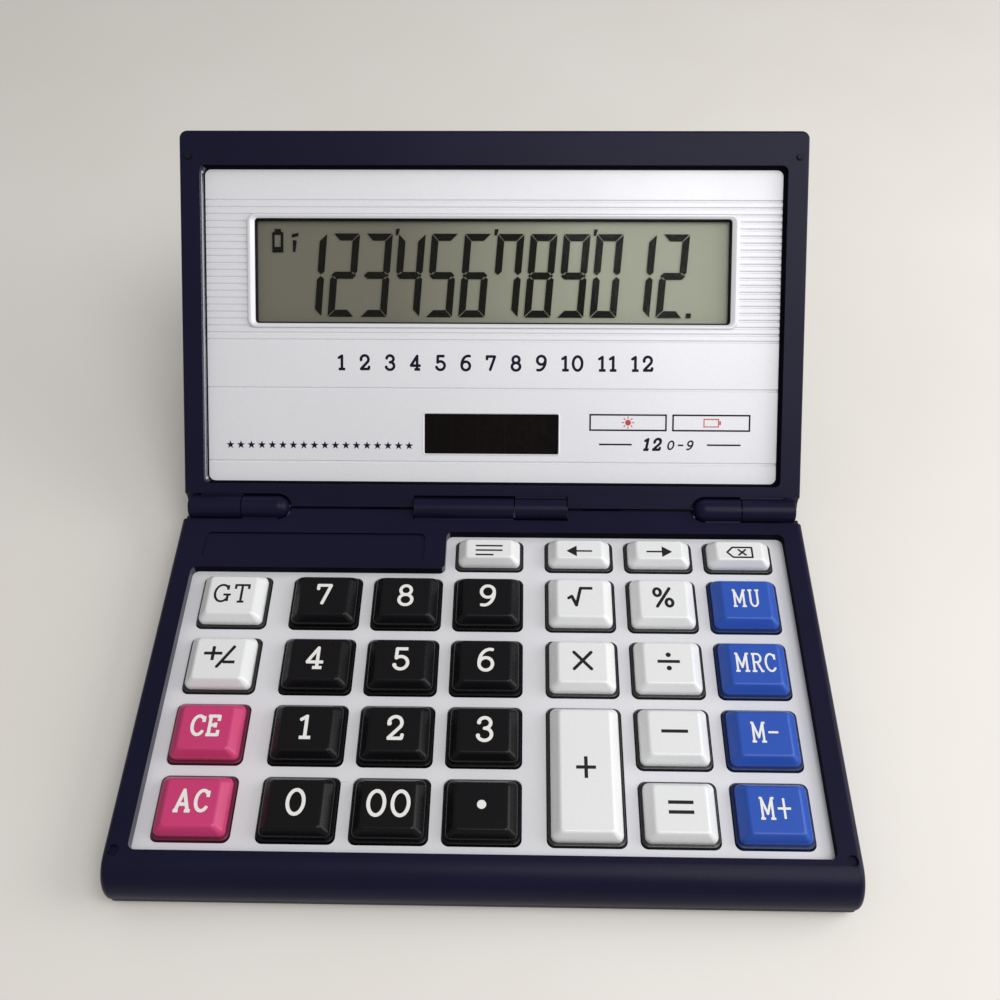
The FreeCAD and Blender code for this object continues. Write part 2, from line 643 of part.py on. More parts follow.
tray_block = block("tray_block", "case_inset - half_wide", "half_wide - case_inset",
                   front_face + " + case_inset", rear_face + " - case_inset",
                   "foot_high", "case_seam")


def tray_edge(edge, middle):
    """The upright front corners and the lower edges of the tray."""
    if upright(edge, middle):
        return middle.y < size("hinge_y - base_reach / 2")
    return middle.z < size("foot_high") + NEAR


tray_round = soften("tray_round", tray_block, [("edge_round * 0.7", tray_edge)])
tray_hollow = block("tray_hollow", "wall + case_inset - half_wide",
                    "half_wide - wall - case_inset",
                    front_face + " + wall + case_inset", rear_face + " - wall - case_inset",
                    "floor_top", "case_seam + overcut")
tray = take("tray", tray_round, [tray_hollow])

tray_adds = []
tray_cuts = []
for number, (x, y) in enumerate(BASE_SCREWS, start=1):
    seat = "foot_high + head_sunk + head_high"
    tray_adds.append(rod("well_%d" % number, x, y, "foot_high + root", "case_seam - boss_nose - fit_gap",
                         "screw_head + well_gap + well_wall"))
    tray_cuts.append(rod("well_bore_%d" % number, x, y, "foot_high - overcut", seat,
                         "screw_head + well_gap"))
    tray_cuts.append(rod("well_hole_%d" % number, x, y, "foot_high", "case_seam + overcut",
                         "screw_round + hole_clear"))

FEET = []
for sign_x in ("-1", "1"):
    for reach in ("foot_front", "foot_rear"):
        FEET.append((sign_x + " * foot_side", behind(reach)))
for number, (x, y) in enumerate(FEET, start=1):
    tray_cuts.append(rod("foot_pocket_%d" % number, x, y, "foot_high - overcut",
                         "foot_high + foot_sunk", "foot_round + fit_gap"))

POST_LINES = ["-2 * col_pitch - group_pitch / 2", "group_pitch / 2"]
POST_ROWS = ["front_row", "front_row - 1.5 * row_pitch", "front_row - 3 * row_pitch"]
POSTS = [(x, behind(reach)) for x in POST_LINES for reach in POST_ROWS]
for number, (x, y) in enumerate(POSTS, start=1):
    tray_adds.append(rod("board_rest_%d" % number, x, y, "foot_high + root",
                         "floor_top + board_lift", "post_round + rest_flare"))

cell_x = "-cell_left"
cell_y = behind("cell_near")
cell_low = "foot_high + door_thick"
cell_top = "foot_high + door_thick + cell_high"
tray_adds.append(rod("cup", cell_x, cell_y, "foot_high + root", cell_top,
                     "cell_round + cup_gap + cup_wall"))
tray_adds.append(rod("door_boss", "-door_screw_left", cell_y, "foot_high + root",
                     "floor_top + door_boss_high", "door_screw_round + door_boss_wall"))
tray_cuts.append(rod("cup_bore", cell_x, cell_y, "foot_high", cell_top + " + overcut",
                     "cell_round + cup_gap"))
tray_cuts.append(block("cup_slot", "cell_round - cell_left - overcut / 2",
                       "cell_round - cell_left + contact_thick + root",
                       cell_y + " - contact_wide / 2 - well_gap", cell_y + " + contact_wide / 2 + well_gap",
                       cell_low + " + contact_lift", cell_top + " + overcut"))
tray_cuts.append(rounded_block("door_opening", "-door_left - fit_gap", "fit_gap - door_right",
                               cell_y + " - door_half - fit_gap",
                               cell_y + " + door_half + fit_gap",
                               "foot_high - overcut", "foot_high + door_thick", "frame_round"))
tray_cuts.append(rod("door_boss_bore", "-door_screw_left", cell_y, "foot_high",
                     "floor_top + door_boss_high - root", "door_screw_round + thread_clear"))
tray_full = join("tray_full", [tray] + tray_adds)
base_bottom_case = take("base_bottom_case", tray_full, tray_cuts)

# Base: small parts

base_screws = gather("base_screws", [
    screw("base_screw_%d" % number, x, y, "foot_high", "panel_top - bore_end - tip_gap",
          "screw_head", "screw_round", "head_high", "head_sunk")
    for number, (x, y) in enumerate(BASE_SCREWS, start=1)
])
rubber_feet = gather("rubber_feet", [
    rod("rubber_foot_%d" % number, x, y, "0", "foot_high + foot_sunk", "foot_round")
    for number, (x, y) in enumerate(FEET, start=1)
])
button_cell = rod("button_cell", cell_x, cell_y, cell_low, cell_top, "cell_round")
top_contact = block("top_contact", "-cell_left - cell_round - contact_past",
                    "cell_round + contact_past - cell_left",
                    cell_y + " - contact_wide / 2", cell_y + " + contact_wide / 2",
                    cell_top, cell_top + " + contact_thick")
side_contact = block("side_contact", "cell_round - cell_left + contact_gap",
                     "cell_round - cell_left + contact_gap + contact_thick",
                     cell_y + " - contact_wide / 2", cell_y + " + contact_wide / 2",
                     cell_low + " + contact_lift", cell_top + " - root")
battery_contacts = gather("battery_contacts", [top_contact, side_contact])
door_plate = rounded_block("door_plate", "-door_left", "-door_right",
                           cell_y + " - door_half", cell_y + " + door_half",
                           "foot_high", "foot_high + door_thick", "frame_round")
battery_door = take("battery_door", door_plate, [
    rod("door_well", "-door_screw_left", cell_y, "foot_high - overcut",
        "foot_high + door_head_high + fit_gap", "door_screw_head + fit_gap"),
    rod("door_hole", "-door_screw_left", cell_y, "foot_high", "foot_high + door_thick + overcut",
        "door_screw_round + hole_clear"),
])
battery_door_screw = screw("battery_door_screw", "-door_screw_left", cell_y, "foot_high",
                           "floor_top + door_boss_high - root - tip_gap",
                           "door_screw_head", "door_screw_round", "door_head_high", "fit_gap")

board_side = "half_wide - base_side - board_edge"
board_front = behind("base_reach - base_front_band + board_edge")
board_wide = block("board_wide", "-(%s)" % board_side, board_side,
                   board_front, behind("ledge_band + board_edge"),
                   "board_top - board_thick", "board_top")
board_deep = block("board_deep", "-lead_side - 3 * lead_round", board_side,
                   board_front, behind("base_rear_band + board_edge"),
                   "board_top - board_thick", "board_top")
key_board = join("key_board", [board_wide, board_deep])

base_lead = join("base_lead", [
    rod_across("base_lead_across", "-lead_side", "bar_split - lead_gap", "hinge_y", "hinge_z",
               "lead_round"),
    ball("base_lead_bend", "-lead_side", "hinge_y", "hinge_z", "lead_round"),
    rod_slanted("base_lead_down", "-lead_side", "hinge_y", "hinge_z", "lead_drop",
                "lead_round", -1),
    ball("base_lead_elbow", "-lead_side", behind("lead_drop"), "hinge_z - lead_drop", "lead_round"),
    rod_along("base_lead_end", "-lead_side", behind("lead_drop + lead_end"), behind("lead_drop"),
              "hinge_z - lead_drop", "lead_round"),
])

# Keys: rows are counted from the rear, columns from the left

COLUMNS = [
    "-2 * col_pitch - group_pitch",
    "-2 * col_pitch",
    "-col_pitch",
    "0",
    "group_pitch",
    "group_pitch + col_pitch",
    "group_pitch + 2 * col_pitch",
]
ROWS = [
    "small_row",
    "front_row - 3 * row_pitch",
    "front_row - 2 * row_pitch",
    "front_row - row_pitch",
    "front_row",
]
KEY_ROWS = [
    [None, None, None, "recall", "back", "forward", "correct"],
    ["grand_total", "seven", "eight", "nine", "root", "percent", "mark_up"],
    ["sign", "four", "five", "six", "times", "divide", "memory_recall"],
    ["clear_entry", "one", "two", "three", None, "minus", "memory_minus"],
    ["clear_all", "zero", "double_zero", "point", None, "equals", "memory_plus"],
]

KEYS = []
for row, names in enumerate(KEY_ROWS):
    deep = "small_open_deep" if row == 0 else "key_open_deep"
    for column, name in enumerate(names):
        if name:
            KEYS.append(("key_" + name, COLUMNS[column], ROWS[row], deep, row == 0))
tall_deep = "key_open_deep + row_pitch"
KEYS.append(("key_plus", COLUMNS[4], "front_row - row_pitch / 2", tall_deep, False))


def rounded_sketch(body, name, wide, deep, rounding, level):
    """A rounded rectangle centred on the body's origin, at a level, bound to the sheet."""
    sketch = body.newObject("Sketcher::SketchObject", name)
    plane = next(item for item in body.Origin.OriginFeatures if item.Role == "XY_Plane")
    sketch.AttachmentSupport = (plane, "")
    sketch.MapMode = "FlatFace"
    sketch.setExpression("AttachmentOffset.Base.z", bound(level))
    half_x = size(wide) / 2
    half_y = size(deep) / 2
    radius = size(rounding)
    in_x = half_x - radius
    in_y = half_y - radius
    ends = [
        ((-in_x, -half_y), (in_x, -half_y)),
        ((half_x, -in_y), (half_x, in_y)),
        ((in_x, half_y), (-in_x, half_y)),
        ((-half_x, in_y), (-half_x, -in_y)),
    ]
    for start, stop in ends:
        sketch.addGeometry(Part.LineSegment(FreeCAD.Vector(*start, 0), FreeCAD.Vector(*stop, 0)))
    corners = [(in_x, -in_y, -90), (in_x, in_y, 0), (-in_x, in_y, 90), (-in_x, -in_y, 180)]
    for x, y, angle in corners:
        circle = Part.Circle(FreeCAD.Vector(x, y, 0), FreeCAD.Vector(0, 0, 1), radius)
        first = math.radians(angle)
        sketch.addGeometry(Part.ArcOfCircle(circle, first, first + math.pi / 2))
    for corner in range(4):
        sketch.addConstraint(Sketcher.Constraint("Tangent", corner, 2, corner + 4, 1))
        sketch.addConstraint(Sketcher.Constraint("Tangent", corner + 4, 2, (corner + 1) % 4, 1))
    for corner in (5, 6, 7):
        sketch.addConstraint(Sketcher.Constraint("Equal", 4, corner))
    for line in (0, 2):
        sketch.addConstraint(Sketcher.Constraint("Horizontal", line))
    for line in (1, 3):
        sketch.addConstraint(Sketcher.Constraint("Vertical", line))
    sketch.addConstraint(Sketcher.Constraint("Symmetric", 4, 3, 6, 3, -1, 1))
    dims = [
        ("wide", Sketcher.Constraint("DistanceX", 3, 1, 1, 1, 2 * half_x), wide),
        ("deep", Sketcher.Constraint("DistanceY", 0, 1, 2, 1, 2 * half_y), deep),
        ("rounding", Sketcher.Constraint("Radius", 4, radius), rounding),
    ]
    for label, constraint, text in dims:
        index = sketch.addConstraint(constraint)
        sketch.renameConstraint(index, label)
        sketch.setExpression("Constraints." + label, bound(text))
    return sketch


def key(name, x, reach, open_deep, small):
    """A key: flange under the panel, skirt through it, sloped cap and a plunger."""
    body = doc.addObject("PartDesign::Body", name)
    skirt_wide = "key_open_wide - 2 * key_gap_side"
    skirt_deep = "%s - 2 * key_gap_front" % open_deep
    slope = "small_slope" if small else "slope_front"
    flange_wide = "key_open_wide + 2 * flange_over"
    flange_deep = "%s + 2 * flange_over" % open_deep
    flange_low = "-panel_thick - flange_thick"
    flange_sketch = rounded_sketch(body, name + "_flange_outline", flange_wide, flange_deep,
                                   "opening_round", flange_low)
    flange = body.newObject("PartDesign::Pad", name + "_flange")
    flange.Profile = flange_sketch
    flange.setExpression("Length", bound("flange_thick"))
    skirt_sketch = rounded_sketch(body, name + "_skirt_outline", skirt_wide, skirt_deep,
                                  "key_round", flange_low)
    skirt = body.newObject("PartDesign::Pad", name + "_skirt")
    skirt.Profile = skirt_sketch
    skirt.setExpression("Length", bound("panel_thick + flange_thick + skirt_rise"))
    lower = rounded_sketch(body, name + "_cap_foot", skirt_wide, skirt_deep,
                           "key_round", "skirt_rise")
    upper = rounded_sketch(body, name + "_cap_top", skirt_wide + " - 2 * slope_side",
                           "%s - 2 * %s" % (skirt_deep, slope),
                           "key_top_round", "skirt_rise + slope_rise")
    doc.recompute()
    cap = body.newObject("PartDesign::AdditiveLoft", name + "_cap")
    cap.Profile = lower
    cap.Sections = [upper]
    cap.Ruled = True
    stem_sketch = rounded_sketch(body, name + "_stem_outline", "2 * plunger_round + plunger_past",
                                 "2 * plunger_round", "plunger_round * 0.9",
                                 flange_low + " - stem_drop")
    stem = body.newObject("PartDesign::Pad", name + "_stem")
    stem.Profile = stem_sketch
    stem.setExpression("Length", bound("stem_drop + flange_thick"))
    doc.recompute()
    summit = size("skirt_rise + slope_rise")
    rim = []
    for index, edge in enumerate(stem.Shape.Edges, start=1):
        if edge.BoundBox.ZMin > summit - NEAR:
            rim.append("Edge%d" % index)
    eased = body.newObject("PartDesign::Fillet", name + "_eased")
    eased.Base = (stem, rim)
    eased.setExpression("Radius", bound("key_top_edge"))
    body.Tip = eased
    bind(body, Placement__Base__x=x, Placement__Base__y=behind(reach), Placement__Base__z="panel_top")
    return body


key_bodies = [key(*entry) for entry in KEYS]

# Base: keypad panel with its openings and clamp posts

panel_plate = panel_outline("panel_plate", "panel_over", "panel_low", "panel_top")
clamp_posts = [
    rod("clamp_post_%d" % number, x, y, "sheet_top", "panel_low + root", "post_round")
    for number, (x, y) in enumerate(POSTS, start=1)
]
panel_posted = join("panel_posted", [panel_plate] + clamp_posts)
key_holes = []
for name, x, reach, deep, small in KEYS:
    key_holes.append(rounded_block(
        name + "_opening",
        "%s - key_open_wide / 2" % x, "%s + key_open_wide / 2" % x,
        "%s - (%s) / 2" % (behind(reach), deep), "%s + (%s) / 2" % (behind(reach), deep),
        "panel_low - overcut", "panel_top + overcut", "opening_round"))
keypad_panel = take("keypad_panel", panel_posted, key_holes)

# Base: dome sheet

sheet_side = "half_wide - base_side - sheet_edge"
sheet_front = behind("base_reach - base_front_band - sheet_edge")
sheet_wide = block("sheet_wide", "-(%s)" % sheet_side, sheet_side,
                   sheet_front, behind("ledge_band + sheet_edge"), "board_top", "sheet_top")
sheet_deep = block("sheet_deep", "-ledge_end", sheet_side,
                   sheet_front, behind("base_rear_band + sheet_edge"), "board_top", "sheet_top")
domes = []
dome_hollows = []
for name, x, reach, deep, small in KEYS:
    y = behind(reach)
    domes.append(cone(name + "_dome", x, y, "sheet_top - root / 2", "plunger_low - seat_gap",
                      "dome_round", "dome_top"))
    dome_hollows.append(cone(name + "_dome_hollow", x, y, "board_top - overcut / 2",
                             "plunger_low - seat_gap - dome_skin",
                             "dome_round - dome_skin", "dome_top - dome_skin"))
sheet_full = join("sheet_full", [sheet_wide, sheet_deep] + domes)
key_membrane = take("key_membrane", sheet_full, dome_hollows)

# Lid: frame with the outer knuckles

lid_blank = block("lid_blank", "-half_wide", "half_wide", "hinge_clear", "lid_reach",
                  "face - lid_seam", "face")


def lid_corner(edge, middle):
    """The upright corners at the lid's far edge."""
    return upright(edge, middle) and middle.y > size("lid_reach") / 2


lid_cornered = soften("lid_cornered", lid_blank, [("lid_round", lid_corner)])


def lid_face_edge(edge, middle):
    """The outline of the lid's face, apart from its hinge edge."""
    return middle.z > size("face") - NEAR and middle.y > size("hinge_clear") + NEAR


lid_shell = soften("lid_shell", lid_cornered, [("lid_edge", lid_face_edge)])
lid_space = block("lid_space", "wall - half_wide", "half_wide - wall",
                  "hinge_clear + wall", "lid_reach - wall", "face - lid_seam - overcut", "lid_panel")
lid_hollow = take("lid_hollow", lid_space,
                  hinge_space("lid_keep", "trough_keep", "bar_keep", "0", "0"))
lid_open = take("lid_open", lid_shell, [lid_hollow])
lid_adds = []
lid_bores = []
for number, (x, y) in enumerate(LID_SCREWS, start=1):
    lid_adds.append(rod("lid_boss_%d" % number, x, y, "face - lid_seam", "lid_panel + weld",
                        "boss_round"))
    lid_bores.append(rod("lid_boss_bore_%d" % number, x, y, "face - lid_seam - overcut",
                         "lid_panel - lid_bore_end", "screw_round + thread_clear"))
grip_nub = rod_along("grip_nub", "half_wide + nub_out - nub_round",
                     "nub_far - nub_long / 2", "nub_far + nub_long / 2",
                     "face - nub_deep", "nub_round")
lid_bossed = join("lid_bossed", [lid_open, grip_nub] + lid_adds)
lid_window = rounded_block("lid_window", "lid_side - half_wide", "half_wide - lid_side",
                           "lid_open_near", "lid_open_far", "lid_panel - overcut / 2", "face + overcut",
                           "frame_round")
lid_cuts = [lid_window] + lid_bores
lid_cuts += hinge_space("lid_trough", "trough_round", "bar_trough", "0", "0")
for side, sign in LEFT_RIGHT:
    lid_cuts.append(rod("pip_hole_" + side, sign + " * pip_side", "pip_far",
                        "face - pip_sunk", "face + overcut", "pip_round + fit_gap / 2"))
lid_cut = take("lid_cut", lid_bossed, lid_cuts)

lid_hinge = []
lid_holes = []
for side, sign in LEFT_RIGHT:
    low, high = span(side, "knuckle_split + knuckle_gap / 2", "knuckle_cap")
    lid_hinge.append(rod_across("lid_knuckle_" + side, low, high, "0", "0", "knuckle_round"))
    lid_hinge.append(block("lid_web_" + side, low, high, "0", "knuckle_round + web_root",
                           "-web_deep", "-web_top"))
    low, high = span(side, "knuckle_in", "half_wide")
    lid_holes.append(rod_across("lid_pin_bore_" + side, low, high, "0", "0",
                                "pin_round + press_clear"))
    low, high = span(side, "knuckle_cap - spigot_long - spigot_room", "half_wide")
    lid_holes.append(rod_across("spigot_bore_" + side, low, high, "0", "0",
                                "cap_spigot + fit_gap / 2"))
lid_hinge.append(rod_across("lid_bar", "bar_split + knuckle_gap / 2", "bar_half",
                            "0", "0", "bar_round"))
lid_hinge.append(block("lid_bar_web", "bar_split + knuckle_gap / 2", "bar_half",
                       "0", "bar_round + web_root", "-web_deep", "-web_top"))
lid_holes.append(rod_across("lid_lead_bore", "-bar_half", "lead_side + lead_bore", "0", "0",
                            "lead_bore"))
lid_holes.append(rod_slanted("lid_lead_slant", "lead_side", "0", "0", "lid_lead_drop + overcut",
                             "lead_bore - fit_gap", 1))
lid_hinged = join("lid_hinged", [lid_cut] + lid_hinge)
lid_frame = take("lid_frame", lid_hinged, lid_holes)

# Lid: back cover

cover_block = block("cover_block", "case_inset - half_wide", "half_wide - case_inset",
                    "hinge_clear + case_inset", "lid_reach - case_inset",
                    "lid_back", "face - lid_seam")


def cover_corner(edge, middle):
    """The upright corners at the far edge of the back cover."""
    return upright(edge, middle) and middle.y > size("lid_reach") / 2


cover_cornered = soften("cover_cornered", cover_block, [("lid_round", cover_corner)])


def cover_edge(edge, middle):
    """The outline of the lid's back."""
    return middle.z < size("lid_back") + NEAR


cover_round = soften("cover_round", cover_cornered, [("lid_round * 0.75", cover_edge)])
cover_space = block("cover_space", "wall + case_inset - half_wide",
                    "half_wide - wall - case_inset",
                    "hinge_clear + wall + case_inset", "lid_reach - wall - case_inset",
                    "lid_floor", "face - lid_seam + overcut")
cover_tray = take("cover_tray", cover_round, [cover_space])
cover_adds = []
cover_cuts = []
for number, (x, y) in enumerate(LID_SCREWS, start=1):
    seat = "lid_back + head_sunk + head_high"
    cover_adds.append(rod("cover_well_%d" % number, x, y, "lid_back + root",
                          "face - lid_seam - well_gap", "screw_head + well_gap + well_wall"))
    cover_cuts.append(rod("cover_bore_%d" % number, x, y, "lid_back - overcut", seat,
                          "screw_head + well_gap"))
    cover_cuts.append(rod("cover_hole_%d" % number, x, y, "lid_back", "face - lid_seam + overcut",
                          "screw_round + hole_clear"))
cover_full = join("cover_full", [cover_tray] + cover_adds)
lid_back_cover = take("lid_back_cover", cover_full, cover_cuts)

# Lid: display panel with ribs and the raised display surround

panel_half = "half_wide - lid_side + panel_over"
display_plate = rounded_block("display_plate", "-(%s)" % panel_half, panel_half,
                              "lid_open_near - panel_over / 2", "lid_open_far + panel_over",
                              "lid_panel_back", "lid_panel", "frame_round")
grooves = []
for number in range(GROOVE_COUNT):
    middle = "groove_near + %d * groove_pitch" % number
    grooves.append(block("groove_%d" % number, "-half_wide", "half_wide",
                         middle + " - groove_wide / 2", middle + " + groove_wide / 2",
                         "lid_panel - groove_deep", "lid_panel + overcut"))
for label in ("line_near", "line_far"):
    grooves.append(block("groove_" + label, "-half_wide", "half_wide",
                         label + " - line_wide / 2", label + " + line_wide / 2",
                         "lid_panel - groove_deep", "lid_panel + overcut"))
ribbed_plate = take("ribbed_plate", display_plate, grooves)
surround_sharp = block("surround_sharp", "-view_half - surround_side", "view_half + surround_side",
                       "view_near - surround_end", "view_far + surround_end",
                       "lid_panel_back + well_gap", "lid_panel + surround_high")
surround_round = soften("surround_round", surround_sharp, [("surround_high", upright)])


def surround_edge(edge, middle):
    """The outline of the raised surround's top."""
    return middle.z > size("lid_panel + surround_high") - NEAR


surround = soften("surround", surround_round, [("surround_high * 0.7", surround_edge)])
framed_plate = join("framed_plate", [ribbed_plate, surround])
display_panel = take("display_panel", framed_plate, [
    block("view_opening", "-view_half", "view_half", "view_near", "view_far",
          "lid_panel_back - overcut", "lid_panel + overcut"),
    block("solar_opening", "-solar_half", "solar_half", "solar_near", "solar_far",
          "lid_panel_back - overcut", "lid_panel + overcut"),
])

# Lid: display, boards and small parts

lcd_window = block("lcd_window", "-view_half - glass_over", "view_half + glass_over",
                   "view_near - glass_over", "view_far + glass_over",
                   "glass_front", "lid_panel_back")
lcd_glass = block("lcd_glass", "-view_half - glass_over", "view_half + glass_over",
                  "view_near - glass_over", "view_far + glass_over",
                  "glass_back", "glass_front")
lcd_connector = block("lcd_connector", "-strip_half", "strip_half",
                      "view_near - glass_over", "view_near - glass_over + strip_wide",
                      "lid_board_front", "glass_back")
display_board = block("display_board", "-lid_board_half", "lid_board_half",
                      "lid_board_near", "lid_board_far", "lid_floor", "lid_board_front")
chip_cover = cone("chip_cover", "0", "chip_near", "lid_board_front",
                  "lid_board_front + chip_high", "chip_round", "chip_top")
solar_cell = block("solar_cell", "-solar_half - glass_over", "solar_half + glass_over",
                   "solar_near - glass_over", "solar_far + glass_over",
                   "lid_panel_back - solar_thick", "lid_panel_back")
lid_screws = gather("lid_screws", [
    screw("lid_screw_%d" % number, x, y, "lid_back", "lid_panel - lid_bore_end - tip_gap",
          "screw_head", "screw_round", "head_high", "head_sunk")
    for number, (x, y) in enumerate(LID_SCREWS, start=1)
])
pins = []
caps = []
pips = []
for side, sign in LEFT_RIGHT:
    low, high = span(side, "knuckle_in + pin_end", "knuckle_cap - spigot_long - spigot_room")
    pins.append(rod_across("hinge_pin_" + side, low, high, "0", "0", "pin_round"))
    low, high = span(side, "knuckle_cap", "knuckle_out")
    disc = rod_across("cap_disc_" + side, low, high, "0", "0", "knuckle_round")
    low, high = span(side, "knuckle_cap - spigot_long", "knuckle_cap + root")
    spigot = rod_across("cap_spigot_" + side, low, high, "0", "0", "cap_spigot")
    caps.append(join("hinge_cap_" + side, [disc, spigot]))
    pips.append(rod("closing_pip_" + side, sign + " * pip_side", "pip_far",
                    "face - pip_sunk", "face + pip_high", "pip_round"))
hinge_pins = gather("hinge_pins", pins)
hinge_caps = gather("hinge_caps", caps)
closing_pips = gather("closing_pips", pips)
lid_lead = join("lid_lead", [
    rod_across("lid_lead_across", "bar_split + lead_gap", "lead_side", "0", "0", "lead_round"),
    ball("lid_lead_bend", "lead_side", "0", "0", "lead_round"),
    rod_slanted("lid_lead_down", "lead_side", "0", "0", "lid_lead_drop", "lead_round", 1),
    ball("lid_lead_elbow", "lead_side", "lid_lead_drop", "-lid_lead_drop", "lead_round"),
    rod_along("lid_lead_end", "lead_side", "lid_lead_drop", "lid_board_near + lid_lead_over",
              "-lid_lead_drop", "lead_round"),
])

BASE_NODES = [
    base_bottom_case, base_top_case, keypad_panel, key_membrane, key_board, base_screws,
    rubber_feet, button_cell, battery_contacts, battery_door, battery_door_screw, base_lead,
]
LID_NODES = [
    lid_frame, lid_back_cover, display_panel, lcd_window, lcd_glass, lcd_connector,
    display_board, chip_cover, solar_cell, lid_screws, hinge_pins, hinge_caps,
    closing_pips, lid_lead,
]

doc.recompute()
leaning = FreeCAD.Placement(
    FreeCAD.Vector(0, size("hinge_y"), size("hinge_z")),
    FreeCAD.Rotation(FreeCAD.Vector(1, 0, 0), 90 - size("lid_lean")),
)
for node in LID_NODES:
    if node.TypeId in ("Part::Box", "Part::Cone"):
        for path, text in list(node.ExpressionEngine):
            if path.lstrip(".").startswith("Placement"):
                node.setExpression(path, None)
    node.Placement = leaning.multiply(node.Placement)
doc.recompute()

for thing in doc.Objects:
    if "Invalid" in thing.State or "Error" in thing.State:
        raise RuntimeError("%s could not be built: %s" % (thing.Name, thing.State))

os.makedirs("parts", exist_ok=True)
for node in BASE_NODES + key_bodies + LID_NODES:
    shape = node.Shape
    if shape.isNull() or not shape.isValid():
        raise RuntimeError("%s has no valid shape" % node.Label)
    print(node.Label, len(shape.Solids), round(shape.Volume, 1))
    shape.exportStep("parts/%s.step" % node.Label)
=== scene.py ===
"""Looks of a folding desk calculator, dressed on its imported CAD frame.

The frame is in metres: X right, Y to the rear, Z up from the desk. Pieces are drawn in
millimetres, either in that frame or in the lid's own frame (X right, Y up the lid from the
hinge axis, Z out of the display face), and are placed as they are made into objects.
"""

import json
import logging
import math
from collections.abc import Callable, Sequence
from dataclasses import dataclass, field
from enum import Enum

import bmesh
import bpy
import numpy as np
from mathutils import Matrix, Vector
from mathutils.geometry import delaunay_2d_cdt

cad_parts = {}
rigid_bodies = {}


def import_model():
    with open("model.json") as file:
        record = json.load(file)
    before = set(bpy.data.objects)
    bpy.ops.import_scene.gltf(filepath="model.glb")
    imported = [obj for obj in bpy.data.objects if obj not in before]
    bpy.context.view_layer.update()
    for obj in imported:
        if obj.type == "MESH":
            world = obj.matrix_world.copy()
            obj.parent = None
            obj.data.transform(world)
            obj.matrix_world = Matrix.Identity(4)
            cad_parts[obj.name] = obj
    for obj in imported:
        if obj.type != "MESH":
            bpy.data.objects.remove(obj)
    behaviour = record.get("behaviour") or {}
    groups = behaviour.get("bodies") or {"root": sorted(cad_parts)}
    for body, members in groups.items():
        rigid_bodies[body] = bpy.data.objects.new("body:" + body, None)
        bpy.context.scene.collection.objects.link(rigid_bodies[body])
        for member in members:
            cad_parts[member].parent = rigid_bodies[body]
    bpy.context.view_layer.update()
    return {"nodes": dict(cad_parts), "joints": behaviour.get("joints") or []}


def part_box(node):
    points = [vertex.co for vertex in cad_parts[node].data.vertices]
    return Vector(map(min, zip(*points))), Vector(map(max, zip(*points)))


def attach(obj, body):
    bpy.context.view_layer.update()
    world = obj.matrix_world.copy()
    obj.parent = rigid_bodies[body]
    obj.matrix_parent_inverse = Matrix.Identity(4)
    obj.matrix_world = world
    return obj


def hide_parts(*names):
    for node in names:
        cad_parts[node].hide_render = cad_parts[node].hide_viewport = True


for leftover in list(bpy.data.objects):
    bpy.data.objects.remove(leftover)
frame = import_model()
LOG = logging.getLogger("calculator")

MM = 0.001
LID_LEAN = math.radians(49)
SHARP_ANGLE = math.radians(38)
CORNER_ANGLE = math.radians(60)
FLAT_ANGLE = math.radians(0.4)
# In millimetres: points closer than the first are merged, heights within the second are equal
MERGE = 0.0005
LEVEL = 0.01
# Filling of outlines: every face is returned, and points closer than this are one
ALL_FACES, APART = 0, 1e-6
Point = tuple[float, float]
Loop = list[Point]
Ring = list[Vector]
Level = tuple[float, float, float, float]
Colour = tuple[float, float, float, float]


def lid_matrix() -> Matrix:
    """Return the matrix from the lid's frame to the world, both in metres."""
    hinge = next(joint for joint in frame["joints"] if joint["name"] == "lid_hinge")
    sine = math.sin(LID_LEAN)
    cosine = math.cos(LID_LEAN)
    turn = Matrix(((1, 0, 0, 0), (0, sine, -cosine, 0), (0, cosine, sine, 0), (0, 0, 0, 1)))
    return Matrix.Translation(Vector(hinge["pos_m"])) @ turn


class Place(Enum):
    """The two drawing frames, each with the body that carries its pieces."""

    BASE = "base"
    LID = "lid"

    def matrix(self) -> Matrix:
        """Return the matrix from this frame, in millimetres, to the world in metres."""
        seat = Matrix.Identity(4) if self is Place.BASE else lid_matrix()
        return seat @ Matrix.Scale(MM, 4)


def linear(code: str) -> Colour:
    """Turn a six-figure screen colour into linear light.

    Args:
        code: Red, green and blue as hexadecimal pairs.

    Returns:
        The colour with an alpha of 1.
    """
    parts = [int(code[at:at + 2], 16) / 255 for at in (0, 2, 4)]
    # The standard screen curve
    light = [part / 12.92 if part <= 0.04045 else ((part + 0.055) / 1.055) ** 2.4 for part in parts]
    return (light[0], light[1], light[2], 1.0)


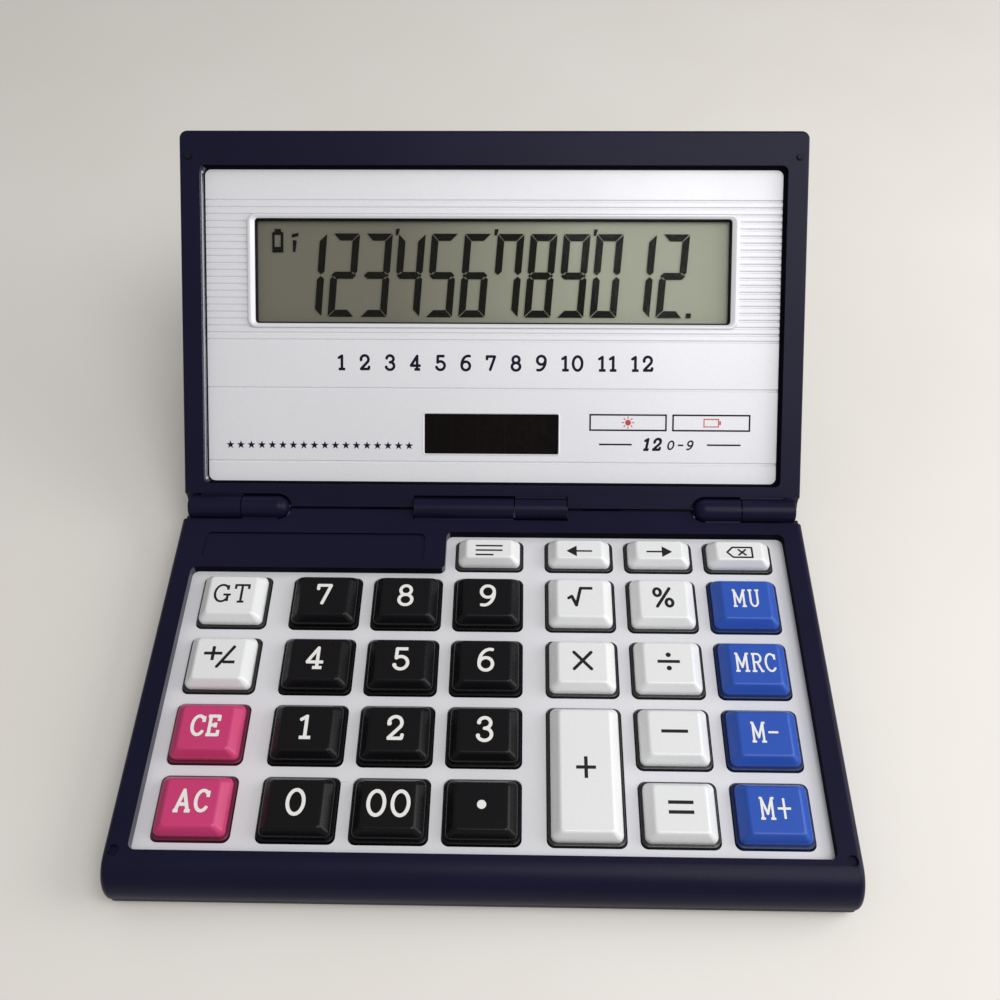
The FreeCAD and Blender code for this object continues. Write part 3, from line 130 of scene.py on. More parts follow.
class ShaderTree:
    """A material's node tree while it is being wired."""

    NOISE_LOW = 0.3
    NOISE_HIGH = 0.7
    NOISE_ROUGHNESS = 0.6

    def __init__(self, name: str) -> None:
        """Start a material that holds only its principled surface.

        Args:
            name: Name of the material.
        """
        self.material = bpy.data.materials.new(name)
        self.material.use_nodes = True
        self.tree = self.material.node_tree
        self.surface = self.tree.nodes["Principled BSDF"]

    def add(self, kind: str, **values: object) -> bpy.types.Node:
        """Add a node and set its inputs or properties by name.

        Args:
            kind: Blender's name of the node type.
            values: Inputs, with spaces as underscores, or properties of the node.

        Returns:
            The new node.
        """
        node = self.tree.nodes.new(kind)
        for key, value in values.items():
            if hasattr(node, key):
                setattr(node, key, value)
            else:
                node.inputs[key.replace("_", " ")].default_value = value
        return node

    def link(self, source: bpy.types.NodeSocket, target: bpy.types.NodeSocket) -> None:
        """Wire one socket to another."""
        self.tree.links.new(source, target)

    def set(self, **values: object) -> None:
        """Set constants on the surface's own sockets."""
        for key, value in values.items():
            self.surface.inputs[key.replace("_", " ")].default_value = value

    def noise(self, scale: float, detail: float = 2.0) -> bpy.types.NodeSocket:
        """Add noise on Object coordinates.

        Args:
            scale: Waves to the metre.
            detail: Octaves of finer noise.

        Returns:
            The noise value's socket.
        """
        place = self.add("ShaderNodeTexCoord")
        texture = self.add("ShaderNodeTexNoise", Scale=scale, Detail=detail,
                           Roughness=self.NOISE_ROUGHNESS)
        self.link(place.outputs["Object"], texture.inputs["Vector"])
        return texture.outputs["Fac"]

    def slope(self, axis: str, **limits: float) -> bpy.types.NodeSocket:
        """Add a ramp along one axis of the Object coordinates.

        Args:
            axis: Name of the axis.
            limits: Inputs of the ramp, with spaces as underscores.

        Returns:
            The ramp value's socket.
        """
        place = self.add("ShaderNodeTexCoord")
        split = self.add("ShaderNodeSeparateXYZ")
        self.link(place.outputs["Object"], split.inputs["Vector"])
        reach = self.add("ShaderNodeMapRange", **limits)
        self.link(split.outputs[axis], reach.inputs["Value"])
        return reach.outputs["Result"]

    def rough(self, driver: bpy.types.NodeSocket, middle: float, spread: float) -> None:
        """Vary the roughness about its middle."""
        self.span(driver, middle - spread, middle + spread, "Roughness")

    def tint(self, driver: bpy.types.NodeSocket, dark: Colour, light: Colour) -> None:
        """Drive the base colour between two colours."""
        ramp = self.add("ShaderNodeValToRGB")
        ramp.color_ramp.elements[0].position = self.NOISE_LOW
        ramp.color_ramp.elements[0].color = dark
        ramp.color_ramp.elements[1].position = self.NOISE_HIGH
        ramp.color_ramp.elements[1].color = light
        self.link(driver, ramp.inputs["Fac"])
        self.link(ramp.outputs["Color"], self.surface.inputs["Base Color"])

    def span(self, driver: bpy.types.NodeSocket, low: float, high: float, socket: str) -> None:
        """Drive a surface socket between two values."""
        reach = self.add("ShaderNodeMapRange", From_Min=self.NOISE_LOW, From_Max=self.NOISE_HIGH,
                         To_Min=low, To_Max=high)
        self.link(driver, reach.inputs["Value"])
        self.link(reach.outputs["Result"], self.surface.inputs[socket])

    def relief(self, driver: bpy.types.NodeSocket, depth: float, strength: float) -> None:
        """Raise a bump of a real depth in metres."""
        bump = self.add("ShaderNodeBump", Strength=strength, Distance=depth)
        self.link(driver, bump.inputs["Height"])
        self.link(bump.outputs["Normal"], self.surface.inputs["Normal"])


def shaded(colour: Colour, share: float) -> Colour:
    """Return a colour with its light multiplied by a share."""
    return (colour[0] * share, colour[1] * share, colour[2] * share, 1.0)


@dataclass(frozen=True)
class MouldedPlastic:
    """Injection-moulded plastic: even colour, flow shade, fine moulded grain, and painted shade at
    a key's foot.
    """

    name: str
    code: str
    roughness: float = 0.4
    uneven: float = 0.06
    grain_per_metre: float = 2600
    grain_depth: float = 0.00002
    specular: float = 0.5
    coat: float = 0.0
    # Painted shade: below the first height the colour is multiplied by the second share
    dark_below: float = -1.0
    dark_share: float = 0.3
    FLOW_PER_METRE = 38
    GRAIN_STRENGTH = 0.5
    SPREAD = 0.05
    COAT_ROUGHNESS = 0.12
    # Height in metres over which the painted shade fades in
    SHADE_EDGE = 0.00008
    # Sockets of the mix node that carry colours
    MIX_COLOUR, MIX_SHARE, MIX_RESULT = 6, 7, 2

    def build(self) -> bpy.types.Material:
        """Make the material and return it."""
        tree = ShaderTree(self.name)
        base = linear(self.code)
        flow = tree.noise(self.FLOW_PER_METRE, 3)
        tree.tint(flow, shaded(base, 1 - self.uneven), shaded(base, 1 + self.uneven))
        grain = tree.noise(self.grain_per_metre)
        tree.rough(grain, self.roughness, self.SPREAD)
        tree.relief(grain, self.grain_depth, self.GRAIN_STRENGTH)
        tree.set(Specular_IOR_Level=self.specular, Coat_Weight=self.coat,
                 Coat_Roughness=self.COAT_ROUGHNESS)
        # Painted shade at the foot, where a key sits in its opening
        if self.dark_below > 0:
            self.shade_foot(tree)
        return tree.material

    def shade_foot(self, tree: ShaderTree) -> None:
        """Paint shade on the moulding below a height, where it sits in the shade of its opening.

        Args:
            tree: The material's tree, with its colour already wired.
        """
        # Share of the colour kept: painted shade below the height, full colour above it
        share = tree.slope("Z", From_Min=self.dark_below - self.SHADE_EDGE,
                           From_Max=self.dark_below, To_Min=self.dark_share, To_Max=1.0)
        colour = tree.surface.inputs["Base Color"].links[0].from_socket
        mix = tree.add("ShaderNodeMix", data_type="RGBA", blend_type="MULTIPLY")
        mix.inputs["Factor"].default_value = 1.0
        tree.link(colour, mix.inputs[self.MIX_COLOUR])
        tree.link(share, mix.inputs[self.MIX_SHARE])
        tree.link(mix.outputs[self.MIX_RESULT], tree.surface.inputs["Base Color"])


@dataclass(frozen=True)
class SilverPaint:
    """Satin silver paint: a bright coat with fine metal flake."""

    name: str
    code: str
    roughness: float = 0.38
    metallic: float = 0.25
    FLAKES_PER_METRE = 5200
    CLOUDS_PER_METRE = 30
    FLAKE_DEPTH = 0.000006
    FLAKE_STRENGTH = 0.3
    DARK, LIGHT, SPREAD = 0.95, 1.04, 0.06

    def build(self) -> bpy.types.Material:
        """Make the material and return it."""
        tree = ShaderTree(self.name)
        base = linear(self.code)
        flake = tree.noise(self.FLAKES_PER_METRE, 1)
        tree.tint(flake, shaded(base, self.DARK), shaded(base, self.LIGHT))
        tree.rough(tree.noise(self.CLOUDS_PER_METRE), self.roughness, self.SPREAD)
        tree.relief(flake, self.FLAKE_DEPTH, self.FLAKE_STRENGTH)
        tree.set(Metallic=self.metallic)
        return tree.material


@dataclass(frozen=True)
class NoisyFinish:
    """A finish whose colour, roughness and relief follow one noise.

    DARK and LIGHT multiply the colour, SPREAD varies the roughness, and DEPTH is in metres.
    """

    name: str
    code: str
    roughness: float = 0.5
    PER_METRE, DETAIL = 1000, 2
    DARK, LIGHT, SPREAD = 0.9, 1.0, 0.06
    DEPTH, STRENGTH = 0.0, 0.0

    def build(self) -> bpy.types.Material:
        """Make the material and return it."""
        tree = ShaderTree(self.name)
        base = linear(self.code)
        noise = tree.noise(self.PER_METRE, self.DETAIL)
        tree.tint(noise, shaded(base, self.DARK), shaded(base, self.LIGHT))
        tree.rough(noise, self.roughness, self.SPREAD)
        if self.DEPTH:
            tree.relief(noise, self.DEPTH, self.STRENGTH)
        tree.set(**self.constants())
        return tree.material

    def constants(self) -> dict[str, float]:
        """Return what the surface's other sockets are set to."""
        return {}


@dataclass(frozen=True)
class Metal(NoisyFinish):
    """Bare metal with fine scratches."""

    roughness: float = 0.33
    PER_METRE, DETAIL = 1800, 4
    DARK, LIGHT, SPREAD = 0.85, 1.05, 0.09

    def constants(self) -> dict[str, float]:
        """Make the surface metal."""
        return {"Metallic": 1.0}


@dataclass(frozen=True)
class PrintedInk(NoisyFinish):
    """Pad-printed ink, slightly uneven where the plastic's grain shows through."""

    specular: float = 0.3
    PER_METRE = 3000

    def constants(self) -> dict[str, float]:
        """Give the ink its sheen."""
        return {"Specular_IOR_Level": self.specular}


@dataclass(frozen=True)
class SoftRubber(NoisyFinish):
    """Matt rubber or silicone."""

    roughness: float = 0.75
    PER_METRE, DETAIL = 700, 4
    DARK, LIGHT, SPREAD = 0.85, 1.12, 0.08
    DEPTH, STRENGTH = 0.00004, 0.4


@dataclass(frozen=True)
class LiquidCrystal:
    """The display's grey-green polariser, with painted shade to the left and painted light to the
    right.
    """

    name: str
    dark_code: str
    light_code: str
    half_wide: float = 0.062
    roughness: float = 0.47
    GRAIN_PER_METRE = 900
    SPREAD = 0.05

    def build(self) -> bpy.types.Material:
        """Make the material and return it."""
        tree = ShaderTree(self.name)
        # Painted shade and light: darker at the left, lighter at the right
        across = tree.slope("X", From_Min=-self.half_wide, From_Max=self.half_wide)
        tree.tint(across, linear(self.dark_code), linear(self.light_code))
        tree.rough(tree.noise(self.GRAIN_PER_METRE), self.roughness, self.SPREAD)
        return tree.material


@dataclass(frozen=True)
class ClearPlastic:
    """A clear window: thin, glossy, and seen mostly by what it reflects."""

    name: str
    dark_code: str = "3d403d"
    light_code: str = "464946"
    alpha: float = 0.05
    roughness: float = 0.08
    refraction: float = 1.49
    HAZE_PER_METRE = 420
    SPREAD = 0.02

    def build(self) -> bpy.types.Material:
        """Make the material and return it."""
        tree = ShaderTree(self.name)
        haze = tree.noise(self.HAZE_PER_METRE)
        tree.tint(haze, linear(self.dark_code), linear(self.light_code))
        tree.rough(haze, self.roughness, self.SPREAD)
        tree.set(Alpha=self.alpha, IOR=self.refraction)
        return tree.material


KEY_GRAIN = 3000
# Keys get painted shade below this height, a little above the keypad panel
KEY_PAINTED_SHADE_RISE = 0.0006
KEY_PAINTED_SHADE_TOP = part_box("keypad_panel")[1].z + KEY_PAINTED_SHADE_RISE


def key_plastic(name: str, code: str, **looks: float) -> MouldedPlastic:
    """Return a key's finish, with painted shade below the edge of its opening."""
    return MouldedPlastic(name, code, grain_per_metre=KEY_GRAIN, dark_below=KEY_PAINTED_SHADE_TOP, **looks)


FINISHES = {finish.name: finish for finish in (
    MouldedPlastic("case_navy", "17162d", roughness=0.34, uneven=0.08, grain_per_metre=2400,
                   grain_depth=15e-6, specular=0.11),
    MouldedPlastic("case_polished", "17162e", roughness=0.24, uneven=0.08, grain_per_metre=2400,
                   grain_depth=3e-6, coat=0.15),
    # Glossy, and a little lighter than the case: painted highlight on the rim's faces towards the
    # side light
    MouldedPlastic("case_rim", "1d1c3a", roughness=0.16, uneven=0.05, grain_per_metre=2400,
                   grain_depth=2e-6, specular=1.0, coat=1.0),
    # Darker and matt: painted shade on the walls of the openings that face away from the side light
    MouldedPlastic("case_matt", "0c0b16", roughness=0.6, uneven=0.1, grain_per_metre=2000,
                   specular=0.02),
    MouldedPlastic("case_dark", "100f1c", roughness=0.5, uneven=0.1, grain_per_metre=2000,
                   grain_depth=30e-6, specular=0.17),
    SilverPaint("panel_silver", "e8e8ed", roughness=0.36, metallic=0.1),
    # Each key's share sets how dark its painted shade below the panel's edge is
    key_plastic("key_black", "100e11", roughness=0.28, uneven=0.1, grain_depth=12e-6, specular=0.2,
                dark_share=0.2),
    key_plastic("key_white", "eaebec", roughness=0.26, uneven=0.01, grain_depth=4e-6, coat=0.2,
                dark_share=0.02),
    key_plastic("key_pink", "cb3a72", roughness=0.34, uneven=0.04, grain_depth=10e-6, specular=0.45,
                dark_share=0.2),
    key_plastic("key_blue", "2b54b4", roughness=0.34, uneven=0.04, grain_depth=10e-6, specular=0.35,
                dark_share=0.2),
    SoftRubber("silicone", "b9b6ae", roughness=0.6),
    MouldedPlastic("board", "2f5d3c", roughness=0.45, uneven=0.12, grain_per_metre=1500,
                   grain_depth=10e-6),
    Metal("screw_steel", "a9abb0"),
    Metal("pin_steel", "c4c6ca", roughness=0.26),
    Metal("cell_steel", "cfd0d2", roughness=0.23),
    Metal("contact_brass", "c9a95c", roughness=0.31),
    SoftRubber("foot_rubber", "26262a"),
    SoftRubber("lead_rubber", "2a2a30", roughness=0.6),
    MouldedPlastic("chip_black", "121214", roughness=0.3, uneven=0.1, grain_per_metre=1200),
    ClearPlastic("window_clear"),
    LiquidCrystal("display_glass", "757363", "a9ac97"),
    MouldedPlastic("solar_glass", "0c0607", roughness=0.2, uneven=0.3, grain_per_metre=600,
                   grain_depth=1e-6, specular=0.12),
    PrintedInk("solar_strip", "170c0d", roughness=0.4, specular=0.08),
    PrintedInk("lcd_ink", "12110c", roughness=0.6, specular=0.05),
    PrintedInk("ink_white", "f2f1ee"),
    PrintedInk("ink_black", "17171a"),
    PrintedInk("ink_navy", "11122a", specular=0.12),
    PrintedInk("ink_red", "c5483f"),
)}


class FinishShelf:
    """Builds each finish once and hands out its material."""

    def __init__(self) -> None:
        """Start with nothing built."""
        self.made: dict[str, bpy.types.Material] = {}

    def get(self, name: str) -> bpy.types.Material:
        """Return the material of a finish by its name."""
        if name not in self.made:
            self.made[name] = FINISHES[name].build()
        return self.made[name]


SHELF = FinishShelf()


def placed(name: str, data: bpy.types.ID) -> bpy.types.Object:
    """Make an object of some data, link it into the scene and return it."""
    thing = bpy.data.objects.new(name, data)
    bpy.context.scene.collection.objects.link(thing)
    return thing


def as_mesh(shape: bmesh.types.BMesh, name: str) -> bpy.types.Mesh:
    """Turn a working shape into a mesh, and free the shape."""
    mesh = bpy.data.meshes.new(name)
    shape.to_mesh(mesh)
    shape.free()
    return mesh


def node_shape(node: str, place: Place) -> bmesh.types.BMesh:
    """Return a merged copy of a CAD node, in millimetres in a drawing frame."""
    shape = bmesh.new()
    shape.from_mesh(frame["nodes"][node].data)
    bmesh.ops.transform(shape, matrix=place.matrix().inverted(), verts=shape.verts)
    bmesh.ops.remove_doubles(shape, verts=shape.verts, dist=MERGE)
    return shape


def corners_of(spots: Sequence[Vector]) -> tuple[Vector, Vector]:
    """Return the lowest and highest corners of the box round some points."""
    return Vector(map(min, zip(*spots))), Vector(map(max, zip(*spots)))


def settled(thing: bpy.types.Object) -> bpy.types.Mesh:
    """Return the evaluated mesh of an object as a mesh of its own."""
    graph = bpy.context.evaluated_depsgraph_get()
    return bpy.data.meshes.new_from_object(thing.evaluated_get(graph), depsgraph=graph)


@dataclass
class Piece:
    """A mesh drawn in millimetres, with all that makes it a dressed piece."""

    name: str
    mesh: bpy.types.Mesh
    place: Place
    finish: str
    slot: str
    body: str = ""
    stands_for: tuple[str, ...] = ()
    smooth: bool = True
    trims: dict[str, set[int]] = field(default_factory=dict)
    BY_AREA = 100

    def dress(self) -> bpy.types.Object:
        """Place, shade and paint the mesh, and tie it to its body.

        Returns:
            The finished object.
        """
        mesh = self.mesh
        mesh.name = self.name
        mesh.transform(self.place.matrix())
        mesh.polygons.foreach_set("use_smooth", [self.smooth] * len(mesh.polygons))
        if self.smooth:
            mesh.set_sharp_from_angle(angle=SHARP_ANGLE)
        mesh.materials.clear()
        mesh.materials.append(SHELF.get(self.finish))
        for index, (finish, faces) in enumerate(self.trims.items(), 1):
            mesh.materials.append(SHELF.get(finish))
            for at in faces:
                mesh.polygons[at].material_index = index
        thing = placed(self.name, mesh)
        if self.smooth:
            self.even_out(thing)
        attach(thing, self.body or self.place.value)
        if self.stands_for:
            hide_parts(*self.stands_for)
        LOG.info("piece %s: %d faces", self.name, len(thing.data.polygons))
        return thing

    @staticmethod
    def even_out(thing: bpy.types.Object) -> None:
        """Weight the normals by face area, so that flats stay flat beside small rounds."""
        weighted = thing.modifiers.new("weighted", "WEIGHTED_NORMAL")
        weighted.keep_sharp = True
        weighted.weight = Piece.BY_AREA
        mesh = settled(thing)
        thing.modifiers.clear()
        old = thing.data
        thing.data = mesh
        mesh.name = thing.name
        bpy.data.meshes.remove(old)


def within(loops: Sequence[Loop], x: float, y: float) -> bool:
    """True for a point inside an odd number of closed outlines."""
    odd = False
    for loop in loops:
        for (ax, ay), (bx, by) in zip(loop, loop[1:] + loop[:1]):
            if (ay > y) != (by > y) and x < ax + (y - ay) * (bx - ax) / (by - ay):
                odd = not odd
    return odd


def outline_mesh(loops: Sequence[Loop], low: float, high: float) -> bpy.types.Mesh:
    """Fill closed outlines, holes left open, as a plate.

    Args:
        loops: Closed outlines in the XY plane.
        low: Lower face.
        high: Upper face.

    Returns:
        The plate's mesh.
    """
    spots: list[Vector] = []
    rims: list[tuple[int, int]] = []
    for loop in loops:
        first = len(spots)
        spots += [Vector(point) for point in loop]
        rims += [(first + at, first + (at + 1) % len(loop)) for at in range(len(loop))]
    flat, _, faces, _, _, _ = delaunay_2d_cdt(spots, rims, [], ALL_FACES, APART)
    kept = []
    for face in faces:
        middle = sum((flat[at] for at in face), Vector((0, 0))) / len(face)
        if within(loops, middle.x, middle.y):
            kept.append(face)
    shape = bmesh.new()
    lower = {at: shape.verts.new((spot.x, spot.y, low)) for at, spot in enumerate(flat)}
    upper = {at: shape.verts.new((spot.x, spot.y, high)) for at, spot in enumerate(flat)}
    return closed_plate(shape, lower, upper, kept)


def closed_plate(shape: bmesh.types.BMesh, lower: dict[object, bmesh.types.BMVert],
                 upper: dict[object, bmesh.types.BMVert], faces: Sequence[list]) -> bpy.types.Mesh:
    """Skin both sides of a plate and wall in its free edges.

    Args:
        shape: The working shape that holds the points.
        lower: Points of the lower side by their keys.
        upper: Points of the upper side by the same keys.
        faces: Keys of each face, counter-clockwise.

    Returns:
        The plate's mesh.
    """
    free: dict[tuple[object, object], None] = {}
    for face in faces:
        shape.faces.new([upper[at] for at in face])
        shape.faces.new([lower[at] for at in reversed(face)])
        for one, other in zip(face, face[1:] + face[:1]):
            if (other, one) in free:
                del free[(other, one)]
            else:
                free[(one, other)] = None
    for one, other in free:
        shape.faces.new((lower[one], lower[other], upper[other], upper[one]))
    loose = [vert for vert in shape.verts if not vert.link_faces]
    bmesh.ops.delete(shape, geom=loose, context="VERTS")
    return as_mesh(shape, "plate")


def box_loop(left: float, right: float, low: float, high: float) -> Loop:
    """Return a rectangle's corners, counter-clockwise."""
    return [(left, low), (right, low), (right, high), (left, high)]


def rounded_loop(half_x: float, half_y: float, radius: float, steps: int = 6) -> Loop:
    """Return a rounded rectangle about the origin, counter-clockwise.

    Args:
        half_x: Half its width.
        half_y: Half its depth.
        radius: Corner radius.
        steps: Facets of each corner.

    Returns:
        Its points, the same number for any size.
    """
    points = []
    for quarter, (sign_x, sign_y) in enumerate(((1, 1), (-1, 1), (-1, -1), (1, -1))):
        for step in range(steps + 1):
            angle = (quarter + step / steps) * math.pi / 2
            points.append((sign_x * (half_x - radius) + radius * math.cos(angle),
                           sign_y * (half_y - radius) + radius * math.sin(angle)))
    return points


def banded(levels: Sequence[tuple[float, float, float]], half_x: float, half_y: float,
           middle: float, steps: int) -> list[Ring]:
    """Return rounded rings along the sides of a rectangle.

    Args:
        levels: How far outside the rectangle each ring lies, its corner radius and its height.
        half_x: Half the rectangle's width.
        half_y: Half the rectangle's depth.
        middle: Y of the rectangle's middle.
        steps: Facets of each corner.

    Returns:
        One ring to a level.
    """
    rings = []
    for out, radius, z in levels:
        loop = rounded_loop(half_x + out, half_y + out, radius, steps)
        rings.append([Vector((x, y + middle, z)) for x, y in loop])
    return rings


def turned(profile: Sequence[Point], sides: int) -> list[Ring]:
    """Return the rings of a shape turned about Z, from its radii and heights."""
    turns = [2 * math.pi * at / sides for at in range(sides)]
    return [[Vector((radius * math.cos(turn), radius * math.sin(turn), z)) for turn in turns]
            for radius, z in profile]


def loft(rings: Sequence[Ring], hollow: bool = False) -> bpy.types.Mesh:
    """Skin rings of equal count, bottom to top, and close it.

    Args:
        rings: Rings of points, counter-clockwise seen from above.
        hollow: Join the last ring to the first, in place of closing both ends.

    Returns:
        The closed mesh.
    """
    shape = bmesh.new()
    rows = [[shape.verts.new(point) for point in ring] for ring in rings]
    count = len(rows[0])
    for lower, upper in zip(rows, rows[1:] + rows[:1] if hollow else rows[1:]):
        for at in range(count):
            after = (at + 1) % count
            shape.faces.new((lower[at], lower[after], upper[after], upper[at]))
    if not hollow:
        shape.faces.new(list(reversed(rows[0])))
        shape.faces.new(rows[-1])
    return as_mesh(shape, "loft")


def joined(meshes: Sequence[bpy.types.Mesh]) -> bpy.types.Mesh:
    """Return one mesh that holds several, and remove the parts."""
    shape = bmesh.new()
    for mesh in meshes:
        shape.from_mesh(mesh)
        bpy.data.meshes.remove(mesh)
    return as_mesh(shape, "joined")


def moved(mesh: bpy.types.Mesh, x: float, y: float, z: float = 0.0) -> bpy.types.Mesh:
    """Shift a mesh and return it."""
    mesh.transform(Matrix.Translation((x, y, z)))
    return mesh


def local_box(node: str) -> tuple[Vector, Vector]:
    """Return a base node's lowest and highest corners in millimetres."""
    low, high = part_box(node)
    return low / MM, high / MM


@dataclass
class ShellCopy:
    """A CAD shell with the edges that the eye catches eased by a small round.

    Rounds, and walls of the opening that face the side light, may get a finish of their own;
    the opening's other walls then get a darker matt finish, which is painted shade.
    """

    node: str
    place: Place
    finish: str
    ease: float
    picks: Callable[[Vector], bool]
    round_finish: str = ""
    wall: Callable[[Vector], bool] = lambda spot: False
    UPRIGHT = 0.2
    FACES_LIGHT = 0.5
    ROUND_STEPS, ROUND_PROFILE = 3, 0.5

    def build(self) -> bpy.types.Object:
        """Copy the node, merge it, ease its picked edges and dress it."""
        shape = node_shape(self.node, self.place)
        bmesh.ops.dissolve_limit(shape, angle_limit=FLAT_ANGLE, verts=shape.verts,
                                 edges=shape.edges)
        chosen = [edge for edge in shape.edges if self.catches(edge)]
        eased = bmesh.ops.bevel(shape, geom=chosen, offset=self.ease, offset_type="OFFSET",
                                segments=self.ROUND_STEPS, profile=self.ROUND_PROFILE,
                                affect="EDGES", clamp_overlap=True)
        shape.faces.index_update()
        trims = {}
        if self.round_finish:
            walls = [face for face in shape.faces
                     if abs(face.normal.z) < self.UPRIGHT and self.wall(face.calc_center_median())]
            bright = {face.index for face in eased["faces"]}
            bright |= {face.index for face in walls if face.normal.x > self.FACES_LIGHT}
            # The other walls of the opening: painted shade, with a darker matt finish
            matt = {face.index for face in walls} - bright
            trims = {self.round_finish: bright, "case_matt": matt}
        return Piece(self.node + "_shell", as_mesh(shape, self.node), self.place, self.finish,
                     self.finish, stands_for=(self.node,), trims=trims).dress()

    def catches(self, edge: bmesh.types.BMEdge) -> bool:
        """True for an outer corner that the shell's test picks at both ends."""
        if len(edge.link_faces) != 2 or not edge.is_convex:
            return False
        if edge.calc_face_angle(0.0) < CORNER_ANGLE:
            return False
        return all(self.picks(vert.co) for vert in edge.verts)


class Mark(Enum):
    """The kinds of stroke that legends are drawn with."""

    LINE = "line"
    BAR = "bar"
    ARC = "arc"
    DOT = "dot"
    WEDGE = "wedge"


Stroke = tuple
LINE, BAR, ARC, DOT, WEDGE = Mark

